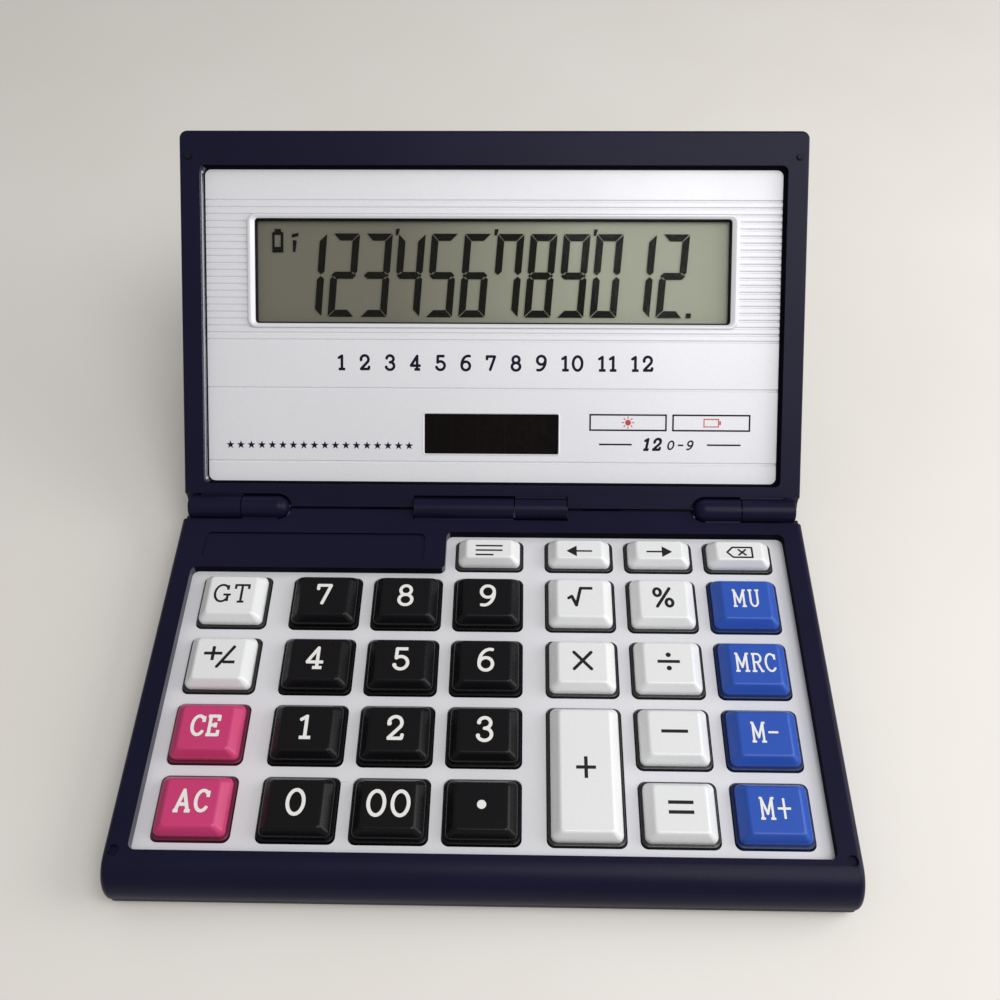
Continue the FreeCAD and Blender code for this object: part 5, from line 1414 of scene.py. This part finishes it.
@dataclass
class DisplayPanel:
    """The silver panel: a grooved plate, the raised display surround and a dark painted-shade ring.
    """

    half_wide: float = 76.0
    low: float = 5.5
    high: float = 88.8
    front: float = -2.6
    back: float = -3.8
    grooves: int = 21
    groove_first: float = 43.5
    groove_pitch: float = 1.78
    groove_wide: float = 0.75
    groove_deep: float = 0.36
    lone_grooves: tuple[float, ...] = (11.9, 31.0)
    lone_wide: float = 0.8
    bed_share: float = 1 / 3
    view_half: float = 61.4
    view_low: float = 47.8
    view_high: float = 74.6
    view_round: float = 0.9
    surround_side: float = 2.0
    surround_end: float = 1.1
    least_round: float = 0.3
    # Shares of the surround's width outside the opening, with heights
    SURROUND = ((1.0, -3.0), (1.0, -2.36), (0.95, -2.14), (0.86, -2.0), (0.62, -1.96),
                (0.5, -1.99), (0.08, -2.3), (0.01, -2.4), (0.0, -2.5), (0.0, -3.8))
    # A dark ring just inside the opening: painted shade in place of the shadow on its inner walls
    GASKET = ((-0.01, -3.8), (-0.01, -2.55), (-0.04, -2.49), (-0.08, -2.55), (-0.17, -3.68),
              (-0.24, -3.79))

    def build(self) -> None:
        """Make the plate, the surround and the dark ring of painted shade."""
        Piece("display_panel_plate", self.plate(), Place.LID, "panel_silver", "panel_silver",
              stands_for=("display_panel",)).dress()
        # The dark ring is painted shade inside the display opening
        for name, profile, finish in (("display_surround", self.SURROUND, "panel_silver"),
                                      ("display_gasket", self.GASKET, "case_dark")):
            Piece(name, self.ring(profile), Place.LID, finish, finish).dress()

    def ring(self, profile: Sequence[Point]) -> bpy.types.Mesh:
        """Sweep a profile round the display opening.

        Args:
            profile: Shares of the surround's width outside the opening, with their heights,
                from the outer foot over the top to the inner foot.

        Returns:
            The closed ring.
        """
        half_y = (self.view_high - self.view_low) / 2
        middle = (self.view_high + self.view_low) / 2
        rings = []
        for share, z in profile:
            end = self.surround_end if share > 0 else self.surround_side
            loop = rounded_loop(self.view_half + share * self.surround_side, half_y + share * end,
                                max(self.view_round + share * end, self.least_round))
            rings.append([Vector((x, y + middle, z)) for x, y in loop])
        return loft(rings, hollow=True)

    def levels(self) -> list[Point]:
        """Return the places up the panel with the front's height at each, grooves included."""
        marks = [(self.groove_first + at * self.groove_pitch, self.groove_wide)
                 for at in range(self.grooves)]
        marks += [(row, self.lone_wide) for row in self.lone_grooves]
        rows = [(row, self.front) for row in (self.low, self.high, self.view_low, self.view_high,
                                              SolarPanel.low, SolarPanel.high)]
        bed = self.front - self.groove_deep
        for row, wide in marks:
            half = wide / 2
            inner = half * self.bed_share
            rows += [(row - half, self.front), (row - inner, bed), (row + inner, bed),
                     (row + half, self.front)]
        return sorted(rows)

    def is_open(self, x: float, y: float) -> bool:
        """True inside the display opening or the solar window."""
        if abs(x) < self.view_half and self.view_low < y < self.view_high:
            return True
        return abs(x) < SolarPanel.half_wide and SolarPanel.low < y < SolarPanel.high

    def plate(self) -> bpy.types.Mesh:
        """Return the grooved plate with both openings."""
        rows = self.levels()
        solar = SolarPanel.half_wide
        columns = [-self.half_wide, -self.view_half, -solar, solar, self.view_half, self.half_wide]
        shape = bmesh.new()
        spots = {(i, j): (x, y, z) for i, x in enumerate(columns) for j, (y, z) in enumerate(rows)}
        upper = {at: shape.verts.new(spot) for at, spot in spots.items()}
        lower = {at: shape.verts.new((x, y, self.back)) for at, (x, y, _) in spots.items()}
        cells = []
        for i in range(len(columns) - 1):
            for j in range(len(rows) - 1):
                x = (columns[i] + columns[i + 1]) / 2
                y = (rows[j][0] + rows[j + 1][0]) / 2
                if not self.is_open(x, y):
                    cells.append([(i, j), (i + 1, j), (i + 1, j + 1), (i, j + 1)])
        return closed_plate(shape, lower, upper, cells)


SEGMENTS = {
    "1": "bc", "2": "abged", "3": "abgcd", "4": "fgbc", "5": "afgcd",
    "6": "afgedc", "7": "fabc", "8": "abcdefg", "9": "abcdfg", "0": "abcdef",
}


@dataclass
class Display:
    """The liquid-crystal display: clear window, digits and marks."""

    window_front: float = -3.8
    window_thick: float = 0.3
    ink_low: float = -4.42
    ink_high: float = -4.36
    shown: str = "123456789012"
    digits_left: float = -51.55
    digits_low: float = 49.7
    digit_high: float = 21.4
    digit_wide: float = 6.9
    digit_pitch: float = 8.54
    stroke: float = 1.8
    gap: float = 0.2
    slant: float = 0.08
    mitre: float = 0.08
    dot_side: float = 1.26
    dot_back: float = 0.7
    comma_back: float = 0.9
    comma_up: float = 0.2
    window_edge: float = 0.05
    window_round: float = 0.6
    window_steps: int = 3
    # The battery's case and its charge, and the two strokes of the mark beside it
    SIGNS = (
        ((-57.3, 66.2), (-54.4, 66.2), (-54.4, 71.4), (-55.0, 71.4), (-55.0, 72.2),
         (-56.7, 72.2), (-56.7, 71.4), (-57.3, 71.4)),
        ((-56.7, 67.6), (-55.1, 67.6), (-55.1, 70.7), (-56.7, 70.7)),
        ((-51.9, 66.3), (-51.3, 66.3), (-50.9, 69.2), (-51.9, 69.4)),
        ((-52.2, 70.0), (-50.5, 70.4), (-50.4, 71.2), (-52.1, 70.9)),
    )
    COMMA = ((0.0, -0.6), (0.6, -0.6), (1.1, 1.0), (0.1, 1.0))
    GROUPS = (3, 6, 9)

    def build(self) -> None:
        """Make the digits, the marks and the window."""
        for name, loops in (("lcd_digits", self.digit_loops()), ("lcd_marks", self.mark_loops())):
            Piece(name, outline_mesh(loops, self.ink_low, self.ink_high), Place.LID, "lcd_ink",
                  "display_glass", smooth=False).dress()
        to_lid = Place.LID.matrix().inverted()
        verts = frame["nodes"]["lcd_window"].data.vertices
        low, high = corners_of([to_lid @ vert.co for vert in verts])
        front = self.window_front
        rear = front - self.window_thick
        edge = self.window_edge
        levels = [(out, self.window_round, z) for out, z in (
            (-edge, rear), (0.0, rear + edge), (0.0, front - edge), (-edge, front))]
        window = loft(banded(levels, (high.x - low.x) / 2, (high.y - low.y) / 2,
                             (low.y + high.y) / 2, self.window_steps))
        Piece("lcd_clear_window", window, Place.LID, "window_clear", "window_clear",
              stands_for=("lcd_window",)).dress()

    def leaning(self, loop: Loop, x: float) -> Loop:
        """Slant an outline and set it at its place along the row."""
        return [(x + px + self.slant * py, self.digits_low + py) for px, py in loop]

    def digit_loops(self) -> list[Loop]:
        """Return the outlines of all lit segments."""
        loops = []
        for at, digit in enumerate(self.shown):
            x = self.digits_left + at * self.digit_pitch
            for name in SEGMENTS[digit]:
                loops.append(self.leaning(self.segment(name), x))
        dot_x = self.digits_left + len(self.shown) * self.digit_pitch - self.dot_back
        loops.append(self.leaning(box_loop(0.0, self.dot_side, 0.0, self.dot_side), dot_x))
        return loops

    def segment(self, name: str) -> Loop:
        """Return one segment of a digit cell as a mitred bar.

        Args:
            name: Letter of the segment, a at the top and then clockwise, g in the middle.

        Returns:
            Its outline.
        """
        wide, high, bold, gap = self.digit_wide, self.digit_high, self.stroke, self.gap
        half = high / 2
        if name in "ad":
            top = high if name == "a" else 0.0
            inner = high - bold if name == "a" else bold
            return [(gap, top), (wide - gap, top), (wide - bold - self.mitre, inner),
                    (bold + self.mitre, inner)]
        if name == "g":
            tip = bold / 2
            return [(gap, half), (tip + gap, half + tip), (wide - tip - gap, half + tip),
                    (wide - gap, half), (wide - tip - gap, half - tip), (tip + gap, half - tip)]
        outer = wide if name in "bc" else 0.0
        inner = wide - bold if name in "bc" else bold
        middle = (outer + inner) / 2
        if name in "bf":
            return [(outer, high - gap), (inner, high - bold - gap), (inner, half + bold / 2 + gap),
                    (middle, half + gap), (outer, half + bold / 2)]
        return [(outer, gap), (inner, bold + gap), (inner, half - bold / 2 - gap),
                (middle, half - gap), (outer, half - bold / 2)]

    def mark_loops(self) -> list[Loop]:
        """Return the battery sign and the marks between groups of three digits."""
        loops = [list(sign) for sign in self.SIGNS]
        y = self.digits_low + self.digit_high + self.comma_up
        lean = self.slant * self.digit_high - self.comma_back
        for group in self.GROUPS:
            x = self.digits_left + group * self.digit_pitch + lean
            loops.append([(x + px, y + py) for px, py in self.COMMA])
        return loops


class GeometryTree:
    """A Geometry Nodes tree with named inputs, made to be applied at once."""

    def __init__(self, name: str) -> None:
        """Start a tree with one geometry output.

        Args:
            name: Name of the tree.
        """
        self.tree = bpy.data.node_groups.new(name, "GeometryNodeTree")
        self.tree.interface.new_socket("Geometry", in_out="OUTPUT",
                                       socket_type="NodeSocketGeometry")
        self.entry = self.tree.nodes.new("NodeGroupInput")
        self.exit = self.tree.nodes.new("NodeGroupOutput")
        self.values: dict[str, object] = {}

    def input(self, name: str, kind: str, value: object) -> bpy.types.NodeSocket:
        """Add a named input with its value.

        Args:
            name: Name of the input.
            kind: Socket type, without its NodeSocket prefix.
            value: The value that the modifier gets.

        Returns:
            The socket that the tree's nodes read.
        """
        socket = self.tree.interface.new_socket(name, in_out="INPUT",
                                                socket_type="NodeSocket" + kind)
        self.values[socket.identifier] = value
        return self.entry.outputs[name]

    def add(self, kind: str, **values: object) -> bpy.types.Node:
        """Add a node, with properties, constants or links for its inputs.

        Args:
            kind: Node type, without its GeometryNode prefix.
            values: Properties, or inputs by name with spaces as underscores.

        Returns:
            The new node.
        """
        node = self.tree.nodes.new("GeometryNode" + kind)
        inputs = {}
        for key, value in values.items():
            if hasattr(node, key):
                setattr(node, key, value)
            else:
                inputs[key.replace("_", " ")] = value
        for key, value in inputs.items():
            socket = next(item for item in node.inputs if item.name == key and item.enabled)
            if isinstance(value, bpy.types.NodeSocket):
                self.tree.links.new(value, socket)
            else:
                socket.default_value = value
        return node

    def row(self, count: int, pitch: float, start: tuple[float, float, float],
            pattern: bpy.types.NodeSocket, turn: float = 0.0) -> bpy.types.NodeSocket:
        """Set copies of a pattern side by side along X.

        Args:
            count: How many copies.
            pitch: Distance from one to the next.
            start: Place of the first.
            pattern: Socket with the pattern's mesh.
            turn: Angle of each copy about Z.

        Returns:
            The socket with the instances.
        """
        line = self.add("MeshLine", Count=self.input("Count", "Int", count),
                        Offset=self.input("Pitch", "Vector", (pitch, 0.0, 0.0)),
                        Start_Location=self.input("Start", "Vector", start))
        copies = self.add("InstanceOnPoints", Points=line.outputs["Mesh"], Instance=pattern,
                          Rotation=(0.0, 0.0, turn))
        return copies.outputs["Instances"]

    def run(self, shape: bpy.types.NodeSocket, finish: str) -> bpy.types.Mesh:
        """Realise the shape, give it its finish and return it as a plain mesh.

        Args:
            shape: Socket with the instances.
            finish: Name of the finish.

        Returns:
            The mesh.
        """
        paint = self.input("Finish", "Material", SHELF.get(finish))
        real = self.add("RealizeInstances", Geometry=shape)
        dressed = self.add("SetMaterial", Geometry=real.outputs["Geometry"], Material=paint)
        self.tree.links.new(dressed.outputs["Geometry"], self.exit.inputs[0])
        thing = placed(self.tree.name, bpy.data.meshes.new(self.tree.name))
        modifier = thing.modifiers.new("tree", "NODES")
        modifier.node_group = self.tree
        for identifier, value in self.values.items():
            modifier[identifier] = value
        mesh = settled(thing)
        bpy.data.objects.remove(thing)
        return mesh


@dataclass
class SolarPanel:
    """The solar cell: thin collector lines over its glass and a raised edge round its window."""

    half_wide: float = 17.5
    low: float = 14.2
    high: float = 24.6
    front: float = -3.8
    lines: int = 4
    line_wide: float = 0.14
    line_high: float = 0.02
    edge_wide: float = 0.4
    edge_high: float = 0.14
    edge_deep: float = 0.5
    edge_over: float = 0.02
    edge_steps: int = 4

    def build(self) -> None:
        """Make the collector lines and the window's edge."""
        tree = GeometryTree("collector_lines")
        pitch = 2 * self.half_wide / (self.lines + 1)
        size = (self.line_wide, self.high - self.low, self.line_high)
        bar = tree.add("MeshCube", Size=tree.input("Bar", "Vector", size))
        start = (pitch - self.half_wide, (self.low + self.high) / 2,
                 self.front + self.line_high / 2)
        mesh = tree.run(tree.row(self.lines, pitch, start, bar.outputs["Mesh"]), "solar_strip")
        Piece("solar_collector_lines", mesh, Place.LID, "solar_strip", "solar_glass",
              smooth=False).dress()
        self.edge()

    def edge(self) -> None:
        """Make the thin raised edge round the window."""
        middle = (self.low + self.high) / 2
        half = (self.high - self.low) / 2
        face = DisplayPanel.front
        wide = self.edge_wide
        levels = [(out, wide + out, z) for out, z in (
            (wide, face - self.edge_deep), (wide, face), (wide / 2, face + self.edge_high),
            (0.0, face), (-self.edge_over, face - self.edge_deep))]
        rings = banded(levels, self.half_wide, half, middle, self.edge_steps)
        mesh = loft(rings, hollow=True)
        Piece("solar_window_edge", mesh, Place.LID, "panel_silver", "panel_silver").dress()


@dataclass
class PanelPrint:
    """The print on the display panel: stars, numbers, boxes and plain signs."""

    level: float = -2.6
    thick: float = 0.03
    stars: int = 18
    star_from: float = -68.4
    star_to: float = -21.45
    star_row: float = 16.2
    star_out: float = 1.1
    star_in: float = 0.46
    star_points: int = 5
    band_row: float = 37.8
    band_from: float = -40.1
    band_to: float = 41.9
    line_wide: float = 0.42
    boxes: tuple[tuple[float, ...], ...] = ((25.5, 45.6, 20.4, 24.8), (47.0, 67.2, 20.4, 24.8))
    rules: tuple[Point, ...] = ((28.1, 36.6), (56.1, 64.8))
    rule_row: float = 16.9
    note_at: Point = (42.0, 17.0)
    span_at: Point = (49.2, 16.8)
    note_lean: float = 0.2
    sun_round: float = 0.75
    sun_sides: int = 24
    rays: int = 8
    # Outlines of a ray and of the battery's case, hollow and knob, about their box's middle
    RAY = box_loop(1.0, 1.6, -0.12, 0.12)
    BATTERY = (box_loop(-2.0, 2.0, -1.1, 1.1), box_loop(-1.75, 1.75, -0.85, 0.85),
               box_loop(2.1, 2.5, -0.5, 0.5))
    NUMBERS = Lettering(3.9, 0.7, 0.1)
    COUNT = Lettering(3.1, 0.68, 0.08)
    SPAN = Lettering(2.3, 0.42, 0.3)

    def build(self) -> None:
        """Print everything."""
        self.star_line()
        self.number_band()
        self.box_frames()
        self.signs()

    def printed(self, name: str, loops: Sequence[Loop], ink: str) -> None:
        """Lay filled outlines on the panel as a thin print."""
        mesh = outline_mesh(loops, self.level, self.level + self.thick)
        Piece(name, mesh, Place.LID, ink, "panel_silver", smooth=False).dress()

    def star_line(self) -> None:
        """Make the row of small stars."""
        tree = GeometryTree("star_row")
        pitch = (self.star_to - self.star_from) / (self.stars - 1)
        outer = tree.input("Outer", "Float", self.star_out)
        inner = tree.input("Inner", "Float", self.star_in)
        thick = tree.input("Thickness", "Float", self.thick)
        star = tree.add("CurveStar", Points=self.star_points, Outer_Radius=outer,
                        Inner_Radius=inner, Twist=0.0)
        face = tree.add("FillCurve", Curve=star.outputs["Curve"])
        raised = tree.add("ExtrudeMesh", Mesh=face.outputs["Mesh"], Offset_Scale=thick)
        stars = tree.row(self.stars, pitch, (self.star_from, self.star_row, self.level),
                         raised.outputs["Mesh"], math.pi / 2)
        mesh = tree.run(stars, "ink_navy")
        Piece("star_row", mesh, Place.LID, "ink_navy", "panel_silver", smooth=False).dress()

    def number_band(self) -> None:
        """Print the plain numbers of the display's twelve places."""
        places = range(1, len(Display.shown) + 1)
        words = [self.NUMBERS.outlines(tuple(str(place))) for place in places]
        starts = [min(x for loop in word for x, _ in loop) for word in words]
        ends = [max(x for loop in word for x, _ in loop) for word in words]
        gap = (self.band_to - self.band_from - sum(ends) + sum(starts)) / (len(words) - 1)
        loops = []
        at = self.band_from
        for word, start, end in zip(words, starts, ends):
            loops += [[(x + at - start, y + self.band_row) for x, y in loop] for loop in word]
            at += end - start + gap
        self.printed("number_band", loops, "ink_navy")

    def box_frames(self) -> None:
        """Print the two boxes and the two rules under them."""
        loops = []
        for left, right, low, high in self.boxes:
            for inset in (0.0, self.line_wide):
                loops.append(box_loop(left + inset, right - inset, low + inset, high - inset))
        half = self.line_wide / 2
        for left, right in self.rules:
            loops.append(box_loop(left, right, self.rule_row - half, self.rule_row + half))
        self.printed("box_frames", loops, "ink_navy")
        note = self.note(self.COUNT, ("1", "2"), self.note_at)
        note += self.note(self.SPAN, ("0", "-", "9"), self.span_at)
        self.printed("place_count", note, "ink_navy")

    def note(self, letters: Lettering, legend: Sequence[str], place: Point) -> list[Loop]:
        """Return the outlines of a leaning note about its middle."""
        return [[(place[0] + x + self.note_lean * y, place[1] + y) for x, y in loop]
                for loop in letters.outlines(legend)]

    def signs(self) -> None:
        """Print a plain sun in one box and a plain battery in the other."""
        (sun_x, middle), (cell_x, _) = [((left + right) / 2, (low + high) / 2)
                                        for left, right, low, high in self.boxes]
        radius = self.sun_round
        turns = [2 * math.pi * at / self.sun_sides for at in range(self.sun_sides)]
        loops = [[(sun_x + radius * math.cos(turn), middle + radius * math.sin(turn))
                  for turn in turns]]
        for ray in range(self.rays):
            turn = 2 * math.pi * ray / self.rays
            cosine, sine = math.cos(turn), math.sin(turn)
            loops.append([(sun_x + out * cosine - side * sine, middle + out * sine + side * cosine)
                          for out, side in self.RAY])
        loops += [[(cell_x + x, middle + y) for x, y in loop] for loop in self.BATTERY]
        self.printed("power_signs", loops, "ink_red")


@dataclass
class Fasteners:
    """Screw heads and feet, each a repeated shape on its CAD places."""

    sides: int = 32
    foot_sides: int = 48
    cross_under: float = -0.5
    # Most of the screw's length that its head takes
    HEAD_LONG = 1 / 3
    # Shares of the head's radius, then the recess of the head's height and the tip of the shank
    HEAD_HIGH = 0.74
    SHANK = 0.53
    ARM = 0.62
    SLOT = 0.14
    DISH = 0.45
    TIP = 0.3
    # Radii as shares, with heights as shares of the head's or in millimetres for the foot
    HEAD = ((0.84, 0.0), (0.96, 0.08), (1.0, 0.22), (1.0, 1.0))
    FOOT = ((0.72, 0.12), (0.78, 0.02), (0.84, 0.0), (0.93, 0.05), (0.98, 0.2), (1.0, 0.38))

    def build(self) -> None:
        """Make the screws of the base, the lid and the battery door, and the feet."""
        for node, place in (("base_screws", Place.BASE), ("lid_screws", Place.LID),
                            ("battery_door_screw", Place.BASE)):
            self.screws(node, place)
        self.feet()

    @staticmethod
    def islands(node: str, place: Place) -> list[tuple[Vector, Vector]]:
        """Return the lowest and highest corners of each separate solid of a node."""
        shape = node_shape(node, place)
        left = set(shape.verts)
        found = []
        while left:
            group = [left.pop()]
            spots = []
            while group:
                vert = group.pop()
                spots.append(vert.co.copy())
                for edge in vert.link_edges:
                    other = edge.other_vert(vert)
                    if other in left:
                        left.discard(other)
                        group.append(other)
            found.append(corners_of(spots))
        shape.free()
        return sorted(found, key=lambda pair: (round(pair[0].y, 2), round(pair[0].x, 2)))

    @staticmethod
    def spread(shape: bpy.types.Mesh, boxes: Sequence[tuple[Vector, Vector]], finish: str,
               name: str) -> bpy.types.Mesh:
        """Set a shape on every place by a Geometry Nodes tree.

        Args:
            shape: The shape, standing on Z = 0 over the origin.
            boxes: Boxes of the solids it stands for.
            finish: Name of the finish.
            name: Name of the tree.

        Returns:
            One mesh with all of them.
        """
        model = placed(name + "_model", shape)
        mesh = bpy.data.meshes.new(name)
        mesh.from_pydata([((a.x + b.x) / 2, (a.y + b.y) / 2, a.z) for a, b in boxes], [], [])
        holder = placed(name + "_places", mesh)
        tree = GeometryTree(name)
        pattern = tree.input("Shape", "Object", model)
        places = tree.input("Places", "Object", holder)
        seen = tree.add("ObjectInfo", Object=pattern)
        spots = tree.add("ObjectInfo", Object=places)
        cloud = tree.add("MeshToPoints", Mesh=spots.outputs["Geometry"])
        copies = tree.add("InstanceOnPoints", Points=cloud.outputs["Points"],
                          Instance=seen.outputs["Geometry"])
        mesh = tree.run(copies.outputs["Instances"], finish)
        bpy.data.objects.remove(model)
        bpy.data.objects.remove(holder)
        return mesh

    def screws(self, node: str, place: Place) -> None:
        """Make a node's screws with domed heads, cross recesses and shanks."""
        boxes = self.islands(node, place)
        low, high = boxes[0]
        head = (high.x - low.x) / 2
        long = high.z - low.z
        head_high = min(head * self.HEAD_HIGH, long * self.HEAD_LONG)
        shank = head * self.SHANK
        profile = [(head * out, head_high * up) for out, up in self.HEAD]
        profile += [(shank, head_high), (shank, long - shank), (shank * self.TIP, long)]
        whole = placed("screw_blank", loft(turned(profile, self.sides)))
        arm = head * self.ARM
        slot = head * self.SLOT
        dish = head_high * self.DISH
        tool = placed("screw_cross", joined([
            outline_mesh([box_loop(-x, x, -y, y)], self.cross_under, dish)
            for x, y in ((arm, slot), (slot, arm))]))
        cut = whole.modifiers.new("cross", "BOOLEAN")
        cut.operation = "DIFFERENCE"
        cut.object = tool
        cut.use_self = True
        shape = settled(whole)
        bpy.data.objects.remove(whole)
        bpy.data.objects.remove(tool)
        mesh = self.spread(shape, boxes, "screw_steel", node + "_tree")
        Piece(node + "_heads", mesh, place, "screw_steel", "screw_steel",
              stands_for=(node,)).dress()

    def feet(self) -> None:
        """Make the rubber feet as discs with a rounded rim and a shallow dish."""
        boxes = self.islands("rubber_feet", Place.BASE)
        low, high = boxes[0]
        radius = (high.x - low.x) / 2
        tall = high.z - low.z
        profile = [(radius * out, up) for out, up in self.FOOT] + [(radius, tall)]
        shape = loft(turned(profile, self.foot_sides))
        mesh = self.spread(shape, boxes, "foot_rubber", "feet_tree")
        Piece("rubber_feet_discs", mesh, Place.BASE, "foot_rubber", "foot_rubber",
              stands_for=("rubber_feet",)).dress()


class InnerParts:
    """CAD nodes that stay as they are and only get their finish."""

    KEPT = {
        "key_membrane": "silicone", "key_board": "board", "button_cell": "cell_steel",
        "battery_contacts": "contact_brass", "battery_door": "case_dark",
        "base_lead": "lead_rubber", "lcd_glass": "display_glass", "lcd_connector": "silicone",
        "display_board": "board", "chip_cover": "chip_black", "solar_cell": "solar_glass",
        "hinge_pins": "pin_steel", "closing_pips": "case_dark", "lid_lead": "lead_rubber",
    }

    def build(self) -> None:
        """Assign each kept node its material."""
        for node, finish in self.KEPT.items():
            mesh = frame["nodes"][node].data
            mesh.materials.clear()
            mesh.materials.append(SHELF.get(finish))
            LOG.info("node %s: %s", node, finish)


@dataclass
class Studio:
    """Floor, soft light and the camera at the photograph's angle."""

    camera_at: tuple[float, float, float] = (0.00797, -0.15335, 0.23475)
    pitch: float = math.radians(53.346)
    yaw: float = math.radians(-1.925)
    roll: float = math.radians(-1.087)
    lens: float = 38.207
    floor_half: float = 2.0
    sky: float = 0.36
    sensor: float = 36
    nearest: float = 0.01
    PAPER = ("e9e5df", "efebe6")
    SKY = "fbf9f6"
    FLOOR_CELLS = 8
    FLOOR_ROUGHNESS = (0.7, 0.85)
    CLOUDS_PER_METRE, GRAIN_PER_METRE = 6, 40
    # Name, place, side and power
    LAMPS = (("side_light", (0.6, 0.0, 0.3), 0.5, 2.4), ("top_light", (0.3, -0.28, 0.85), 0.6, 4.0))

    def build(self) -> None:
        """Set the floor, the lights, the world and the camera."""
        self.floor()
        for lamp in self.LAMPS:
            self.lamp(*lamp)
        self.world()
        self.camera()
        bpy.context.scene.view_settings.view_transform = "Standard"

    def floor(self) -> None:
        """Lay the pale floor under the feet."""
        shape = bmesh.new()
        bmesh.ops.create_grid(shape, x_segments=self.FLOOR_CELLS, y_segments=self.FLOOR_CELLS,
                              size=self.floor_half)
        mesh = as_mesh(shape, "floor")
        tree = ShaderTree("floor_paper")
        tree.tint(tree.noise(self.CLOUDS_PER_METRE, 3), *map(linear, self.PAPER))
        tree.span(tree.noise(self.GRAIN_PER_METRE), *self.FLOOR_ROUGHNESS, "Roughness")
        mesh.materials.append(tree.material)
        floor = placed("floor", mesh)

    def lamp(self, name: str, place: tuple[float, float, float], size: float, power: float) -> None:
        """Hang a soft square lamp that looks at the object.

        Args:
            name: Name of the lamp.
            place: Where it hangs.
            size: Side of the lamp.
            power: Its power in watts.
        """
        data = bpy.data.lights.new(name, "AREA")
        data.size = size
        data.energy = power
        lamp = placed(name, data)
        lamp.location = place
        lamp.rotation_euler = (-Vector(place)).to_track_quat("-Z", "Y").to_euler()

    def world(self) -> None:
        """Light the scene evenly from all round."""
        world = bpy.data.worlds.new("studio")
        world.use_nodes = True
        ground = world.node_tree.nodes["Background"]
        ground.inputs["Color"].default_value = linear(self.SKY)
        ground.inputs["Strength"].default_value = self.sky
        bpy.context.scene.world = world

    def camera(self) -> None:
        """Place the camera as the photograph's perspective gives it."""
        data = bpy.data.cameras.new("camera")
        data.sensor_width = self.sensor
        data.lens = self.lens
        data.clip_start = self.nearest
        forward = Vector((math.sin(self.yaw) * math.cos(self.pitch),
                          math.cos(self.yaw) * math.cos(self.pitch), -math.sin(self.pitch)))
        flat = Vector((math.cos(self.yaw), -math.sin(self.yaw), 0))
        rise = flat.cross(forward)
        right = math.cos(self.roll) * flat + math.sin(self.roll) * rise
        above = -math.sin(self.roll) * flat + math.cos(self.roll) * rise
        turn = Matrix((right, above, -forward)).transposed().to_4x4()
        camera = placed("camera", data)
        camera.matrix_world = Matrix.Translation(self.camera_at) @ turn
        bpy.context.scene.camera = camera


def main() -> None:
    """Dress the calculator, piece by piece."""
    logging.basicConfig(level=logging.INFO, format="%(name)s %(message)s")
    assemblies = (Studio(), InnerParts(), BaseCase(), LidCase(), Keypad(), DisplayPanel(),
                  Display(), SolarPanel(), PanelPrint(), Fasteners())
    for assembly in assemblies:
        assembly.build()


if __name__ == "__main__":
    main()
